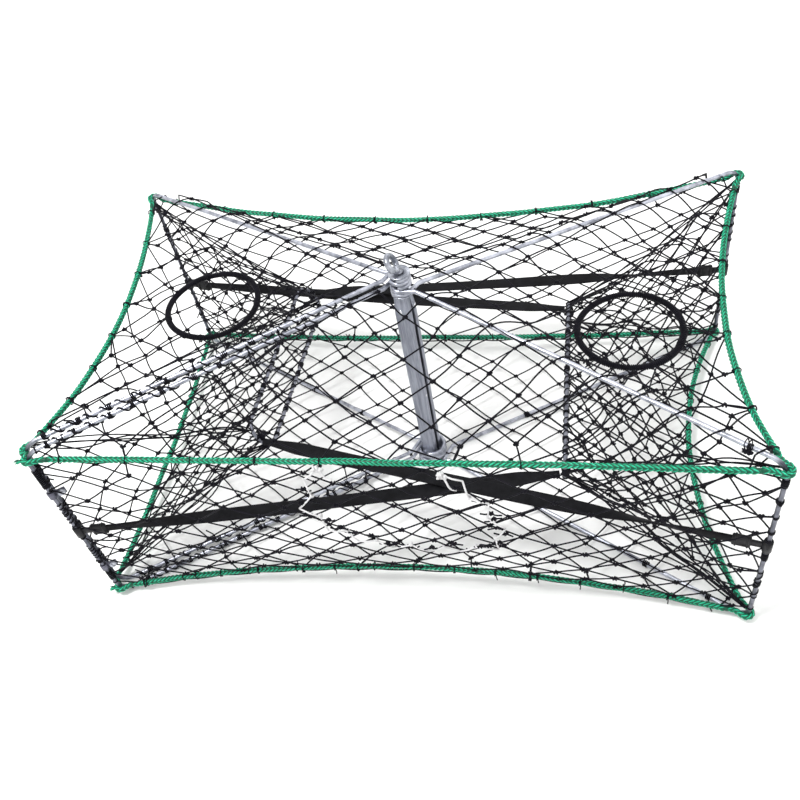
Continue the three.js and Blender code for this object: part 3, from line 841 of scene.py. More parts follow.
def plait(yarn, path, radius=ROPE):
    """A solid-plaited rope along a path: a core under columns of slanting stitches, which lean
    opposite ways so that neighbours meet in chevrons."""
    length = length_along(path)
    at = np.arange(0, length[-1], STITCH_ROW / 2)
    line = np.stack([np.interp(at, length, path[:, c]) for c in range(3)], axis=1)
    a, b, _ = frames(line)
    before = len(yarn.uvs)
    yarn.tube(line, radius * 0.76, 8)
    for uv in yarn.uvs[before:]:
        uv[:, 1] = 0.5  # the core takes the painted shade of a stitch's underside

    def across(where, values):
        return np.stack([np.interp(where, at, values[:, c]) for c in range(3)], axis=-1)

    t = np.linspace(-0.5, 0.5, 5)
    width = radius * 0.27 * np.array([0.35, 0.86, 1, 0.86, 0.35])
    section = np.linspace(0, 2 * math.pi, 6, endpoint=False)
    rows = np.arange(STITCH_LONG / 2, length[-1] - STITCH_LONG / 2, STITCH_ROW)
    for column in range(STITCH_COLUMNS):
        hand = 1 if column % 2 else -1
        s = rows[:, None] + t * STITCH_LONG
        turn = (column * 2 * math.pi / STITCH_COLUMNS + hand * 2 * t * STITCH_LEAN
                + 0.5 * np.sin(0.011 * s) + 0.004 * s)[..., None]
        out = np.cos(turn) * across(s, a) + np.sin(turn) * across(s, b)
        middle = across(s, line) + radius * (0.66 + 0.05 * np.cos(math.pi * t))[:, None] * out
        way = np.gradient(middle, axis=1)
        side = np.cross(way / np.linalg.norm(way, axis=-1, keepdims=True), out)
        rings = middle[:, :, None] + width[:, None, None] * (
            np.cos(section)[:, None] * out[:, :, None]
            + np.sin(section)[:, None] * side[:, :, None])
        for stitch in rings:
            yarn.skin(stitch, along=t * STITCH_LONG)


def edge_points(level, i, start, stop, steps=60):
    return np.array([rope_at(level, i, u) for u in np.linspace(start, stop, steps)])


def make_ropes():
    for level in LEVELS:
        for i, panel in enumerate(PANELS):
            span = np.linalg.norm(rope_at(level, i, 0) - rope_at(level, i, 1))
            trim = TURN_LEAD / span
            path = edge_points(level, i, trim, 1 - trim)
            path = path + np.array([wobble(p, 0.012, 1.6, i + len(level)) for p in path])
            yarn = Yarn()
            plait(yarn, path)
            add_between(f"edge_rope_{level}_{panel}", yarn, ROPE_GREEN, i, "green_rope",
                        f"rope_{level}_{panel}")


TURN_BEND = ROD + ROPE - 0.4
TURN_LEAD = 24
BEND_INSET = BEND * (1 - math.cos(math.radians(30)))  # of the rod's bend, at the rope's height


def rope_end(level, k, hand, distance):
    """A place on a rope edge that meets leaf k: the next panel's for hand 1, else the last's."""
    i = k if hand > 0 else k - 1
    span = np.linalg.norm(rope_at(level, i, 0) - rope_at(level, i, 1))
    u = distance / span if hand > 0 else 1 - distance / span
    return rope_at(level, i, u)


def corner_turn(yarn, level, k):
    """The rope's turn round the outside of a leaf's bend, joined to the edges that meet there."""
    angle = ANGLES[k]
    out, left = polar(angle, 1), polar(angle, 0, 0, 1)
    centre = polar(angle, REACH - BEND_INSET, LEVELS[level])
    hands = [hand for hand in (-1, 1) if 0 <= (k if hand > 0 else k - 1) < len(PANELS)]
    first, last = (-100, 100) if len(hands) == 2 else (-96, 104)
    turns = arc(centre, out, left, TURN_BEND, first, last, 18)
    if -1 in hands:
        turns = np.vstack([[rope_end(level, k, -1, d) for d in (TURN_LEAD + 2, 17)], turns])
    if 1 in hands:
        turns = np.vstack([turns, [rope_end(level, k, 1, d) for d in (17, TURN_LEAD + 2)]])
    plait(yarn, spline(turns, 3), ROPE * 0.98)


def rope_tail(yarn, k, level):
    """A short frayed end of rope that stands out from a corner."""
    start = polar(ANGLES[k], REACH - BEND_INSET + TURN_BEND, LEVELS[level])
    rng = random.Random(level)
    for _ in range(12):
        aim = polar(ANGLES[k], rng.uniform(6, 12), rng.uniform(-2, 3), rng.uniform(-5, 2))
        yarn.tube([start, start + aim * 0.6 + vec(0, 0, 0.8), start + aim], [1.2, 1.0, 0.4], 5)


def make_corner_turns():
    for level in LEVELS:
        for k, (name, _) in enumerate(LEAVES):
            yarn = Yarn()
            corner_turn(yarn, level, k)
            if k == 0:
                rope_tail(yarn, k, level)
            add(f"corner_turns_{level}_{name}", yarn, ROPE_GREEN, BODIES[k], "green_rope",
                f"rope_turn_{level}_{name}")


# ---------------------------------------------------------------- top and bottom netting
DECK_X, DECK_Y = 38, 28
HUB_HOLE = 27
NEAR_ARM = 55


def deck_edge(level, x, y):
    """The rope beyond a point of a deck: its panel, its share along it and its distance."""
    angle = turn_of(x, y)
    i = sector_of(angle)
    u = float(np.interp(angle, ROPE_ANGLES[level, i], SHARES))
    edge = rope_at(level, i, u)
    return i, u, edge, math.hypot(edge[0], edge[1]), angle


def deck_point(level, x, y):
    """A flat point on the top or bottom net: over the arms, and out to the ropes."""
    i, _, edge, reach, angle = deck_edge(level, x, y)
    s = math.hypot(x, y)
    share = min(s / reach, 1)
    w = (angle - ANGLES[i]) / (ANGLES[i + 1] - ANGLES[i])
    inner = lerp(eye_z(level, i), eye_z(level, i + 1), w)
    sag = 7 if level == "top" else 4
    z = lerp(inner, edge[2], share) - sag * math.sin(math.pi * share) * math.sin(math.pi * w)
    k = i if w < 0.5 else i + 1
    aside = abs(math.radians(angle - ANGLES[k])) * s
    on_arm = arm_z(level, k, s) + ROD + TWINE
    z = lerp(on_arm, z, smooth(aside / NEAR_ARM) if s < reach * 0.98 else 1)
    if level == "top":
        for ring_x, ring_y in RINGS.values():
            near = math.hypot(x - ring_x, y - ring_y) - RING_RADIUS
            z = lerp(RING_Z, z, smooth(near / 45))
    return vec(x, y, max(z, TWINE))


def deck_inside(level, p):
    x, y = p
    s = math.hypot(x, y)
    if s < HUB_HOLE:
        return False
    if level == "top":
        for ring_x, ring_y in RINGS.values():
            if math.hypot(x - ring_x, y - ring_y) < RING_RADIUS:
                return False
    angle = turn_of(x, y)
    half_gap = math.degrees(2.5 / s)
    if angle < ANGLES[0] + half_gap or angle > ANGLES[4] - half_gap:
        return False
    return s < deck_edge(level, x, y)[3]


RING_TIES = 16
ARM_TIES = 36
HUB_TIES = 14


def deck_tie(level, yarn, p):
    """Fastens a bar's end to the ring, rope, rod or hub that it meets."""
    x, y = p
    if level == "top":
        for side, (ring_x, ring_y) in RINGS.items():
            out = math.atan2(y - ring_y, x - ring_x)
            if abs(math.hypot(x - ring_x, y - ring_y) - RING_RADIUS) < 3:
                n = round(out / (2 * math.pi) * RING_TIES) % RING_TIES
                turn = n / RING_TIES * 2 * math.pi
                aside = vec(math.cos(turn), math.sin(turn), 0)
                centre = vec(ring_x, ring_y, RING_Z) + RING_RADIUS * aside
                axis = vec(-math.sin(turn), math.cos(turn), 0)
                return TIES.fasten(yarn, (side, n), centre, axis, 3.6)
    i, u, _, reach, angle = deck_edge(level, x, y)
    s = math.hypot(x, y)
    if s < HUB_HOLE + 3:
        turn = round(angle / 360 * HUB_TIES) / HUB_TIES * 360
        return polar(turn, HUB_HOLE - 6, deck_point(level, x, y)[2])
    if abs(s - reach) < 2:
        return tie_to_rope(yarn, level, i, u)
    k = 0 if i == 0 else 4
    n = round(s / ARM_TIES)
    centre = polar(ANGLES[k], n * ARM_TIES, arm_z(level, k, n * ARM_TIES))
    return TIES.fasten(yarn, (level, k, n), centre, polar(ANGLES[k], 1), ROD)


def make_decks():
    for number, level in enumerate(LEVELS):
        yarns = [Yarn() for _ in PANELS]
        knots = lattice(1000, 600, DECK_X, DECK_Y, 3 + 8 * number)
        weave(knots,
              lambda p: yarns[sector_of(turn_of(*p))],
              lambda p: deck_point(level, *p),
              lambda p: deck_inside(level, p),
              lambda yarn, p: deck_tie(level, yarn, p),
              40 + number)
        for i, panel in enumerate(PANELS):
            add_between(f"netting_{level}_{panel}", yarns[i], BLACK_TWINE, i, "black_twine",
                        f"net_{level}_{panel}")


# ---------------------------------------------------------------- front and back netting
WALL_X, WALL_Z = 38, 21
WALL_BOW = 0.12


def panel_width(i):
    return float(np.linalg.norm(rope_at("top", i, 0) - rope_at("top", i, 1)))


def wall_edges(i, x):
    along = 0.5 + x / panel_width(i)
    return along, rope_at("bottom", i, along), rope_at("top", i, along)


def wall_point(i, x, z):
    """A place x along and z up on the front or back net."""
    along, low, high = wall_edges(i, x)
    v = (z - low[2]) / (high[2] - low[2])
    p = lerp(low, high, v)
    straight = lerp(rope_at("bottom", i, 0), rope_at("bottom", i, 1), along)
    p[1] = lerp(straight[1], p[1], lerp(WALL_BOW, 1, (2 * v - 1) ** 2))
    return p


def wall_inside(i, x, z):
    if abs(x) > panel_width(i) / 2:
        return False
    _, low, high = wall_edges(i, x)
    return low[2] < z < high[2]


def wall_tie(i, yarn, x, z):
    along, low, high = wall_edges(i, x)
    if abs(z - low[2]) < 1.5:
        return tie_to_rope(yarn, "bottom", i, along)
    if abs(z - high[2]) < 1.5:
        return tie_to_rope(yarn, "top", i, along)
    return tie_to_corner(yarn, i if x < 0 else i + 1, z)


def running_thread(yarn, i, seed):
    """Twine that hangs in shallow loops under a bottom rope, hitched to it at intervals."""
    rng = random.Random(seed)
    stops = np.linspace(0.05, 0.95, round(panel_width(i) / 60))
    for a, b in zip(stops, stops[1:]):
        low = vec(0, 0, -ROPE - TWINE)
        loop = [rope_at("bottom", i, lerp(a, b, t)) + low * (1 + 0.5 * math.sin(math.pi * t))
                for t in np.linspace(0, 1, 7)]
        yarn.tube(loop, TWINE, 5)
        hitch(yarn, rope_at("bottom", i, a), rope_axis("bottom", i, a), ROPE, rng, 1.3, 4.0,
              TIE_TWINE)


def make_walls():
    middle = (LEVELS["top"] + LEVELS["bottom"]) / 2
    for i, seed in ((0, 21), (2, 33)):
        yarn = Yarn()
        knots = lattice(panel_width(i), 330, WALL_X, WALL_Z, seed)
        weave(knots,
              lambda p: yarn,
              lambda p: wall_point(i, p[0], p[1] + middle),
              lambda p: wall_inside(i, p[0], p[1] + middle),
              lambda yarn, p: wall_tie(i, yarn, p[0], p[1] + middle),
              seed + 1)
        running_thread(yarn, i, seed)
        name = PANELS[i]
        add_between(f"netting_{name}", yarn, BLACK_TWINE, i, "black_twine", f"net_{name}")


# ---------------------------------------------------------------- funnels
FUNNEL_MESHES = 21
FUNNEL_ROWS = 11
END_WIDE, END_TALL = 520.0, 300.0  # a funnel's wide end, for spacing its meshes


def square_place(share):
    """A place round a square's rim from -1 to 1, spaced by the lengths of the trap's end."""
    wide, tall = END_WIDE, END_TALL
    s = (share % 1.0) * 2 * (wide + tall)
    if s < tall / 2:
        return 1.0, s / (tall / 2)
    s -= tall / 2
    if s < wide:
        return 1 - 2 * s / wide, 1.0
    s -= wide
    if s < tall:
        return -1.0, 1 - 2 * s / tall
    s -= tall
    if s < wide:
        return -1 + 2 * s / wide, -1.0
    return 1.0, -1 + (s - wide) / (tall / 2)


def funnel_end(side, y, z):
    """The wide end of a funnel, on the end ropes and corner rods."""
    i, flip = (1, 1) if side == "right" else (3, -1)
    u = (flip * y + 1) / 2
    low, high = rope_at("bottom", i, u), rope_at("top", i, u)
    return lerp(low, high, (z + 1) / 2)


def funnel_mouth(side, y, z):
    straight = MOUTH_REACH - MOUTH_HALF
    if abs(y) < 1:
        return mouth_place(side, y * straight, z * MOUTH_HALF)
    turn = z * math.pi / 2
    return mouth_place(side, y * (straight + MOUTH_HALF * math.cos(turn)),
                       MOUTH_HALF * math.sin(turn))


def funnel_point(side, share, t):
    y, z = square_place(share)
    a, b = funnel_end(side, y, z), funnel_mouth(side, y, z)
    p = lerp(a, b, t)
    slack = math.sin(math.pi * t)
    inward = vec(0, -y * 14, -z * 10) * slack
    return p + inward


def make_funnel(side):
    i = PANELS.index(side)
    rng = random.Random(70 + i)
    yarn = Yarn()
    around = 2 * FUNNEL_MESHES
    places = {}
    for p in range(around):
        for q in range(FUNNEL_ROWS + 1):
            if (p + q) % 2 == 0:
                inner = 0 < q < FUNNEL_ROWS
                shift = rng.uniform(-0.22, 0.22) * inner
                share = (p + shift) / around
                t = (q + rng.uniform(-0.18, 0.18) * inner) / FUNNEL_ROWS
                places[p, q] = (share, t ** 0.9)
    for (p, q), (share, t) in places.items():
        at = funnel_point(side, share, t)
        for step in (-1, 1):
            other = places.get(((p + step) % around, q + 1))
            if other is None:
                continue
            far = other[0] + round(share - other[0])
            points = np.array([funnel_point(side, lerp(share, far, s), lerp(t, other[1], s))
                               for s in np.linspace(0, 1, 7)])
            if q == 0:
                pull = funnel_tie(yarn, side, i, share) - points[0]
                points = points + pull * np.linspace(1, 0, 7)[:, None]
            strand(yarn, points, rng, 3.0)
        if 0 < q < FUNNEL_ROWS:
            knot(yarn, at, unit(funnel_point(side, share, t + 0.02) - at), rng)
    for y in (-1, 1):
        for z in (-1, 1):
            gathered_seam(yarn, side, y, z, rng)
    add_between(f"netting_funnel_{side}", yarn, BLACK_TWINE, i, "black_twine", f"net_funnel_{side}")


def funnel_tie(yarn, side, i, share):
    y, z = square_place(share)
    u = ((1 if side == "right" else -1) * y + 1) / 2
    if abs(z) == 1 and 0.02 < u < 0.98:
        return tie_to_rope(yarn, "top" if z > 0 else "bottom", i, u)
    return tie_to_corner(yarn, i if u < 0.5 else i + 1, funnel_end(side, y, z)[2])


def gathered_seam(yarn, side, y, z, rng):
    """Twine ends drawn together from a corner of the trap to an end of the mouth frame."""
    start, stop = funnel_end(side, y * 0.97, z), funnel_mouth(side, y, z * 0.5)
    for _ in range(4):
        spread = [vec(*[rng.uniform(-1, 1) for _ in range(3)]) for _ in range(6)]
        route = [lerp(start, stop, t) + vec(0, -y, -z * 0.8) * 10 * math.sin(math.pi * t)
                 + spread[m] * (3.0 + 9.0 * math.sin(math.pi * t))
                 for m, t in enumerate(np.linspace(0, 1, 6))]
        yarn.tube(spline(route, 5), TWINE, 5)


# ---------------------------------------------------------------- lashings
def wind(yarn, path, radius, pitch, rng, size=TWINE, sides=5):
    """Twine wound along a rod, with uneven turns."""
    length = length_along(path)
    steps = int(length[-1] / pitch * 14)
    at = np.linspace(0, length[-1], steps)
    line = np.stack([np.interp(at, length, path[:, c]) for c in range(3)], axis=1)
    a, b, _ = frames(line)
    uneven = [noise.noise(Vector((s * 0.02, radius, rng.random() * 0.01))) for s in at]
    turn = 2 * math.pi * (at / pitch) + 2.5 * np.array(uneven)
    grip = radius + size * 0.9
    yarn.tube(line + grip * (np.cos(turn)[:, None] * a + np.sin(turn)[:, None] * b), size, sides)


def lash(yarn, path, radius, every, rng, lumps=0.3, running=True):
    """Hitches round a rod at intervals, with a line running between them if wanted."""
    length = length_along(path)
    at = np.arange(every / 2, length[-1], every)
    last = None
    for s in at:
        # The last hitch stays short of the path's end, where no direction is left to take.
        s = min(s + rng.uniform(-0.2, 0.2) * every, length[-1] - 2)
        centre = np.array([np.interp(s, length, path[:, c]) for c in range(3)])
        ahead = np.array([np.interp(s + 2, length, path[:, c]) for c in range(3)])
        axis = unit(ahead - centre)
        tail = rng.uniform(6, 12) if rng.random() < lumps else 0.0
        hitch(yarn, centre, axis, radius, rng, rng.choice((1.3, 2.3, 3.2)), tail, 1.1)
        a, b, _ = frames(np.array([centre, ahead]))
        turn = rng.uniform(0, 6.28)
        outside = centre + (radius + TWINE) * (math.cos(turn) * a[0] + math.sin(turn) * b[0])
        if last is not None and running:
            middle = lerp(last, outside, 0.5) + rng.uniform(0.5, 1.5) * a[0]
            yarn.tube([last, middle, outside], TWINE, 5)
        last = outside


def arm_line(level, k, start):
    stops = np.linspace(start, REACH - BEND - 6, 24)
    return np.array([polar(ANGLES[k], s, arm_z(level, k, s)) for s in stops])


def corner_line(k, start=34, stop=TOP_ROD_Z - 34):
    return np.array([polar(ANGLES[k], REACH, z) for z in np.linspace(start, stop, 16)])


# Heights between which each corner rod is wound, with the pitch of the turns.
CORNER_WINDINGS = {
    0: [(276, 306, 3.0), (184, 232, 8.0), (96, 130, 6.0), (38, 60, 4.0)],
    1: [(302, 312, 2.2), (206, 211, 2.2), (150, 164, 2.6), (56, 118, 19.0)],
    2: [(296, 308, 3.0), (210, 250, 16.0), (50, 110, 18.0)],
    3: [(298, 308, 3.0), (200, 262, 17.0), (60, 110, 15.0)],
    4: [(282, 306, 4.0), (150, 226, 13.0), (44, 96, 8.0)],
}


def make_lashings():
    for k, (name, _) in enumerate(LEAVES):
        rng = random.Random(110 + k)
        yarn = Yarn()
        seam = k in (0, 4)
        for low, high, pitch in CORNER_WINDINGS[k]:
            wind(yarn, corner_line(k, low, high), ROD, pitch, rng, TIE_TWINE)
        lash(yarn, corner_line(k), ROD, 95, rng, 0.4, running=False)
        if seam:
            wind(yarn, arm_line("top", k, 60), ROD, 22, rng, TWINE * 1.15)
            lash(yarn, arm_line("top", k, 70), ROD, 40, rng, 0.15, running=False)
            wind(yarn, arm_line("bottom", k, 60), ROD, 24, rng, TWINE)
            lash(yarn, arm_line("bottom", k, 70), ROD, 30, rng, 0.6, running=False)
        else:
            lash(yarn, arm_line("bottom", k, 90), ROD, 110, rng, 0.1)
        if k == 1:
            looped_tie(yarn, polar(ANGLES[k], REACH - 44, arm_z("top", k, REACH - 44)),
                       polar(ANGLES[k], 1), rng)
        add(f"lashing_{name}", yarn, BLACK_TWINE, BODIES[k], "black_twine")


def looped_tie(yarn, at, axis, rng):
    """A tie on a top arm, knotted with two loops standing up."""
    side = unit(np.cross(axis, vec(0, 0, 1)))
    hitch(yarn, at, axis, ROD, rng, 3.0, 0.0, TIE_TWINE)
    foot = at + side * 8
    for drift in (-3, 0, 3):
        knot(yarn, foot + axis * drift, axis, rng, 2.6)
    for drift in (-2.0, 2.0):
        base = foot + axis * drift
        loop = [base, base + vec(0, 0, 10) - axis * 2.6, base + vec(0, 0, 22),
                base + vec(0, 0, 10) + axis * 2.6, base]
        yarn.tube(spline(loop, 6), 0.7, 5)
    bead = Yarn()
    dome(bead, foot - axis * 7 + side * 2, vec(0, 0, 1), 2.4, 2.4)
    add("tie_bead", bead, WHITE_TWINE, BODIES[1], "white_twine")


# ---------------------------------------------------------------- mouth frames and rings
def mouth_line(side, steps=20):
    """The middle of a mouth frame's wire, all the way round."""
    straight = MOUTH_REACH - MOUTH_HALF
    right = [(straight + MOUTH_HALF * math.cos(a), MOUTH_HALF * math.sin(a))
             for a in np.linspace(-math.pi / 2, math.pi / 2, steps)]
    left = [(-y, -z) for y, z in right]
    middle = np.linspace(1, -1, steps)[1:-1]
    top = [(y * straight, MOUTH_HALF) for y in middle]
    low = [(-y * straight, -MOUTH_HALF) for y in middle]
    return np.array([mouth_place(side, y, z) for y, z in right + top + left + low])


def closed_tube(yarn, path, radius, sides=10):
    path = np.asarray(path)
    tangent = np.roll(path, -1, axis=0) - np.roll(path, 1, axis=0)
    tangent /= np.linalg.norm(tangent, axis=1, keepdims=True)
    normal = unit(np.cross(path[0] - path[len(path) // 2], path[len(path) // 4] - path[0]))
    first = np.cross(tangent, normal)
    turn = np.linspace(0, 2 * math.pi, sides, endpoint=False)
    ring = np.cos(turn)[None, :, None] * first[:, None] + np.sin(turn)[None, :, None] * -normal
    yarn.skin(path[:, None] + radius * ring[:, ::-1], closed=True, along=length_along(path))


def make_mouth(side):
    path = mouth_line(side)
    wire = Yarn()
    closed_tube(wire, path, MOUTH_WIRE, 12)
    body = f"{side}_mouth"
    add(f"mouth_wire_{side}", wire, MOUTH_STEEL, body, "mouth_wire", f"mouth_frame_{side}")
    rng = random.Random(len(side))
    yarn = Yarn()
    loop = np.vstack([path, path[:1]])
    wind(yarn, loop, MOUTH_WIRE, 12, rng, TIE_TWINE)
    lash(yarn, loop, MOUTH_WIRE, 24, rng, 0.2, running=False)
    for end in (-1, 1):
        for n in range(9):
            at = mouth_place(side, end * (MOUTH_REACH - 2 - n * 1.1), 0)
            lump = at + vec(*[rng.uniform(-1, 1) for _ in range(3)]) * 3
            hitch(yarn, lump, unit(vec(rng.uniform(-1, 1), 0.3, rng.uniform(-1, 1))), 3.5, rng, 1.4,
                  rng.uniform(5, 12) if n % 3 == 0 else 0.0)
    add(f"mouth_lashing_{side}", yarn, BLACK_TWINE, body, "black_twine")


def make_ring(side):
    """A stiff ring, served all round with twine."""
    x, y = RINGS[side]
    turn = np.linspace(0, 2 * math.pi, 97)
    path = np.stack([x + RING_RADIUS * np.cos(turn), y + RING_RADIUS * np.sin(turn),
                     RING_Z + 1.2 * np.sin(2 * turn)], axis=1)
    core = Yarn()
    closed_tube(core, path[:-1], 2.9, 10)
    rng = random.Random(7 * len(side))
    wind(core, path, 2.5, 2.5, rng, 0.95)
    add(f"served_ring_{side}", core, BLACK_TWINE, f"{side}_ring", "ring_plastic", f"ring_{side}")


# ---------------------------------------------------------------- straps, hooks, clamps
def strap_ends(leaf, z, mouth, end):
    start, stop = polar(ANGLES[leaf], REACH, z), mouth_place(mouth, end * MOUTH_REACH, 0)
    way = unit(stop - start)
    return start + way * STRAP_START, stop - way * STRAP_STOP, way


def flat_ring(across, up, width, thick):
    """The section of a strap: thin, with rounded edges."""
    section = [(0.5, 0), (0.49, 0.35), (0.44, 0.5), (-0.44, 0.5), (-0.49, 0.35), (-0.5, 0),
               (-0.49, -0.35), (-0.44, -0.5), (0.44, -0.5), (0.49, -0.35)]
    return np.array([across * x * width + up * y * thick for x, y in section])


def make_strap(name, leaf, z, mouth, end):
    start, stop, way = strap_ends(leaf, z, mouth, end)
    side = unit(vec(-way[1], way[0], 0))
    rings = []
    for u in np.linspace(0, 1, 70):
        roll = math.radians(90) * max(1 - u / STRAP_TWIST, 0)
        roll = math.radians(90) * smooth(roll / math.radians(90)) + 0.1 * math.sin(9 * u + leaf)
        across = side * math.cos(roll) + vec(0, 0, math.sin(roll))
        narrow = lerp(0.55, 1, smooth((u - 0.04) / 0.34)) * lerp(0.4, 1, smooth((1 - u) / 0.1))
        centre = lerp(start, stop, u) + vec(0, 0, -3.0 * math.sin(math.pi * u))
        rings.append(centre + flat_ring(across, np.cross(across, way), STRAP_WIDTH * narrow,
                                        STRAP_THICK / narrow))
    yarn = Yarn()
    yarn.skin(np.array(rings)[:, ::-1])
    body = f"{name}_strap"
    piece = add(f"strap_webbing_{name}", yarn, WEBBING, body, "black_strap", f"strap_{name}")
    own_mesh(piece)
    make_hook(name, leaf, z, start)


def box_ring(centre, a, b, c, size, edge=0.6):
    """Rings of a small block with softened edges, along direction c."""
    rings = []
    soft_share = edge / size[2]
    for share, inset in ((-0.5, edge), (-0.5 + soft_share, 0), (0.5 - soft_share, 0), (0.5, edge)):
        x, y = size[0] / 2 - inset, size[1] / 2 - inset
        soft = min(edge, x * 0.4, y * 0.4)
        corners = [(x, y - soft), (x - soft, y), (-x + soft, y), (-x, y - soft), (-x, -y + soft),
                   (-x + soft, -y), (x - soft, -y), (x, -y + soft)]
        rings.append([centre + a * p + b * q + c * share * size[2] for p, q in corners])
    return np.array(rings)


def make_hook(name, leaf, z, start):
    """A band round the corner rod with the tongue that the strap is sewn to."""
    yarn = Yarn()
    post = polar(ANGLES[leaf], REACH, z)
    lathe(yarn, [(r, h - 10) for r, h in rounded(ROD + 0.3, ROD + 2.8, 20, 0.5)], 28, z, post[:2])
    aim = unit((start - post) * vec(1, 1, 0))
    left = vec(-aim[1], aim[0], 0)
    up = vec(0, 0, 1)
    yarn.skin(box_ring(post + aim * 12, left, up, aim, (3, 11, 14)))
    yarn.skin(box_ring(post + aim * 29.5, left, up, aim, (5.4, 20, 22), 1.2))
    for n in range(2):
        yarn.skin(box_ring(post + aim * (22 + 14 * n), left, up, aim, (6.6, 21, 2.2), 0.5))
    add(f"hook_band_{name}", yarn, BLACK_PLASTIC, f"{name}_strap", "black_hook", f"hook_{name}")


def make_clamps():
    angle = ANGLES[0]
    out, left, up = polar(angle, 1), polar(angle, 0, 0, 1), vec(0, 0, 1)
    for name, z in CLAMP_HEIGHTS.items():
        post = polar(angle, REACH, z)
        yarn = Yarn()
        lathe(yarn, [(r, h - 6) for r, h in rounded(ROD + 0.4, ROD + 2.4, 12)], 28, z, post[:2])
        yarn.skin(box_ring(post - out * (ROD + 8.5), left, up, -out, (3.0, 11, 14)))
        add(f"clamp_band_{name}", yarn, CLAMP_STEEL, BODIES[0], "zinc_hardware",
            f"corner_clamp_{name}")
        screw = Yarn()
        face = post - out * 12.5 + left * 2.2
        slotted_head(screw, face, left, up)
        add(f"clamp_screw_head_{name}", screw, ZINC_PARTS, BODIES[0], "zinc_hardware",
            f"clamp_screw_{name}")


def slotted_head(yarn, face, out, up):
    """A domed screw head cut by a slot: two half domes with a gap between."""
    across = np.cross(out, up)
    tilt = unit(up + 0.5 * across)
    side = np.cross(out, tilt)
    for half in (-1, 1):
        rings = []
        for r, h in ((5.4, 0.0), (5.5, 0.8), (5.0, 1.9), (3.6, 2.7), (1.6, 3.0)):
            turn = np.radians(np.linspace(-82, 82, 12))[:, None]
            arc_points = half * (np.cos(turn) * side) + np.sin(turn) * tilt * half
            rings.append(face + out * h + arc_points * r + half * side * 0.35)
        yarn.skin(np.array(rings))
    base = np.array([face + 5.2 * (math.cos(a) * side + math.sin(a) * tilt)
                     for a in np.linspace(0, 2 * math.pi, 20, endpoint=False)])
    yarn.skin(np.stack([base, base + out * 1.0]))


# ---------------------------------------------------------------- the laced opening
LACE_SPACING, LACE_ZIGZAG = 21, 7


def make_lacing():
    """White twine that closes a cut along three sides of an opening in the front net."""
    rng = random.Random(5)
    edge = spline([vec(x, 0, z) for x, z in LACE_EDGE], 12)
    length = length_along(edge)
    stitches = int(length[-1] / LACE_SPACING)
    yarn = Yarn()
    route = []
    for n in range(stitches + 1):
        s = n / stitches * length[-1]
        p, q = (np.array([np.interp(s + d, length, edge[:, c]) for c in range(3)]) for d in (-1, 1))
        along = unit(q - p)
        side = (1 if n % 2 == 0 else -1) * LACE_ZIGZAG
        flat = (p + q) / 2 + vec(-along[2], 0, along[0]) * side
        at = wall_point(0, flat[0], flat[2]) + vec(0, -3.2, 0)
        route.append(at + vec(rng.uniform(-2, 2), 0, rng.uniform(-2, 2)))
    for a, b in zip(route, route[1:]):
        yarn.tube([a, lerp(a, b, 0.5) + vec(0, -1, -0.6), b], 1.25, 6)
    for at in route[::2]:
        hitch(yarn, at + vec(0, 1.5, 0), unit(vec(1, 0, 0.4)), 1.6, rng, 1.3, 0, 1.2)
    for at, droop in ((route[0], 16), (route[-1], 26)):
        for _ in range(4):
            lump = at + vec(rng.uniform(-3, 3), -1, rng.uniform(-3, 3))
            knot(yarn, lump, vec(1, 0, 0), rng, 2.8, 1.4)
        tail = [at, at + vec(5, -4, -droop * 0.3), at + vec(9, -5, -droop * 0.8),
                at + vec(16, -4, -droop)]
        yarn.tube(spline(tail, 5), 1.3, 6)
    cut_ends(edge, rng)
    add_between("lacing_twine", yarn, WHITE_TWINE, 0, "white_twine", "access_lacing")


def cut_ends(edge, rng):
    """The netting's cut bars along the opening, each a knot with a short curled end."""
    yarn = Yarn()
    for p in edge[5:-5:3]:
        at = wall_point(0, p[0] + rng.uniform(-8, 8), p[2] + rng.uniform(-3, 12)) + vec(0, -2, 0)
        knot(yarn, at, vec(1, 0, 0), rng)
        for hand in (-1, 1):
            end = at + vec(hand * rng.uniform(7, 15), -1.5, rng.uniform(-5, 5))
            middle = lerp(at, end, 0.5) + vec(0, -1, rng.uniform(-2, 2))
            yarn.tube(spline([at, middle, end], 4), TWINE, 5)
    add_between("lacing_cut_ends", yarn, BLACK_TWINE, 0, "black_twine")


# ---------------------------------------------------------------- light, floor, camera
def make_stage():
    """A pale sweep: a floor that curves up into a far backdrop on every side, open above."""
    yarn = Yarn()
    turn = np.linspace(0, 2 * math.pi, 96, endpoint=False)
    rings = [[(radius * math.cos(a), radius * math.sin(a), z) for a in turn]
             for radius, z in ((0.01, -0.4), (2500, -0.4), (5000, -0.4), (6200, 200), (7000, 1000),
                               (7300, 2600))]
    yarn.skin(np.array(rings, float)[:, ::-1], caps=False)
    floor = yarn.make("studio_sweep", paper_white())


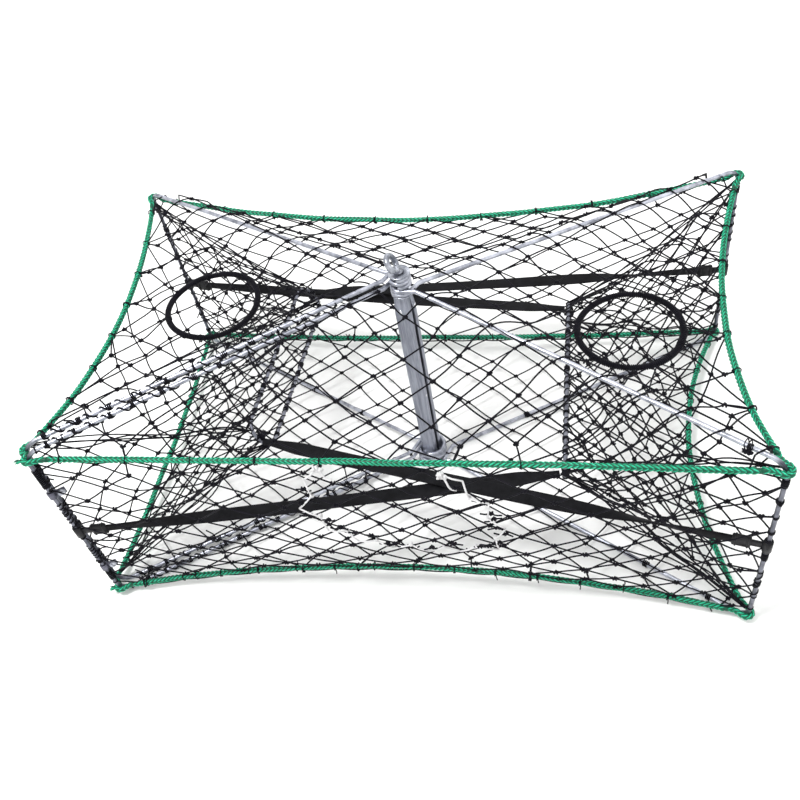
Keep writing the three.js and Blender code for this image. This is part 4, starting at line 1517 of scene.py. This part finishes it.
def area_light(name, place, aim, size, power):
    data = bpy.data.lights.new(name, "AREA")
    data.energy, data.size = power, size
    lamp = bpy.data.objects.new(name, data)
    bpy.context.collection.objects.link(lamp)
    lamp.location = place
    lamp.rotation_mode = "QUATERNION"
    lamp.rotation_quaternion = (Vector(aim) - Vector(place)).to_track_quat("-Z", "Y")


def make_light():
    world = bpy.data.worlds.new("studio")
    world.use_nodes = True
    background = world.node_tree.nodes["Background"]
    background.inputs["Strength"].default_value = 1.0
    split = node(world.node_tree, "ShaderNodeSeparateXYZ")
    source = node(world.node_tree, "ShaderNodeTexCoord")
    world.node_tree.links.new(source.outputs["Generated"], split.inputs["Vector"])
    sky = ramp(world.node_tree, split.outputs["Z"], (0.1, (0.40, 0.40, 0.42)),
               (0.55, (1.0, 1.0, 1.0)))
    world.node_tree.links.new(sky, background.inputs["Color"])
    bpy.context.scene.world = world
    area_light("key", (-0.9, -0.7, 3.0), (0, 0, 0.1), 0.7, 75)
    area_light("fill", (2.2, -0.6, 1.8), (0, 0, 0.1), 2.0, 10)
    area_light("rim", (0.4, 2.4, 1.9), (0, 0, 0.2), 1.8, 12)
    bpy.context.scene.view_settings.view_transform = "Standard"


LENS, SENSOR_WIDTH = 41.46, 36
CAMERA_PLACE = (0.236, -0.885, 1.162)
CAMERA_FORWARD = (-0.19610, 0.63992, -0.74300)
CAMERA_RIGHT = (0.98056, 0.13319, -0.14409)


def make_camera():
    data = bpy.data.cameras.new("camera")
    data.lens, data.sensor_width = LENS, SENSOR_WIDTH
    camera = bpy.data.objects.new("camera", data)
    bpy.context.collection.objects.link(camera)
    forward, right = Vector(CAMERA_FORWARD).normalized(), Vector(CAMERA_RIGHT)
    right = (right - forward * right.dot(forward)).normalized()
    up = right.cross(forward)
    camera.matrix_world = Matrix.Translation(CAMERA_PLACE) @ Matrix(
        (right, up, -forward)).transposed().to_4x4()
    bpy.context.scene.camera = camera


make_camera()
make_stage()
make_light()
make_leaves()
make_washers()
make_nut()
make_eye_bolt()
make_post()
make_punch_marks()
make_ropes()
make_corner_turns()
make_decks()
make_walls()
for side in ("right", "left"):
    make_funnel(side)
    make_mouth(side)
    make_ring(side)
make_lashings()
for strap in STRAPS:
    make_strap(*strap)
make_clamps()
make_lacing()
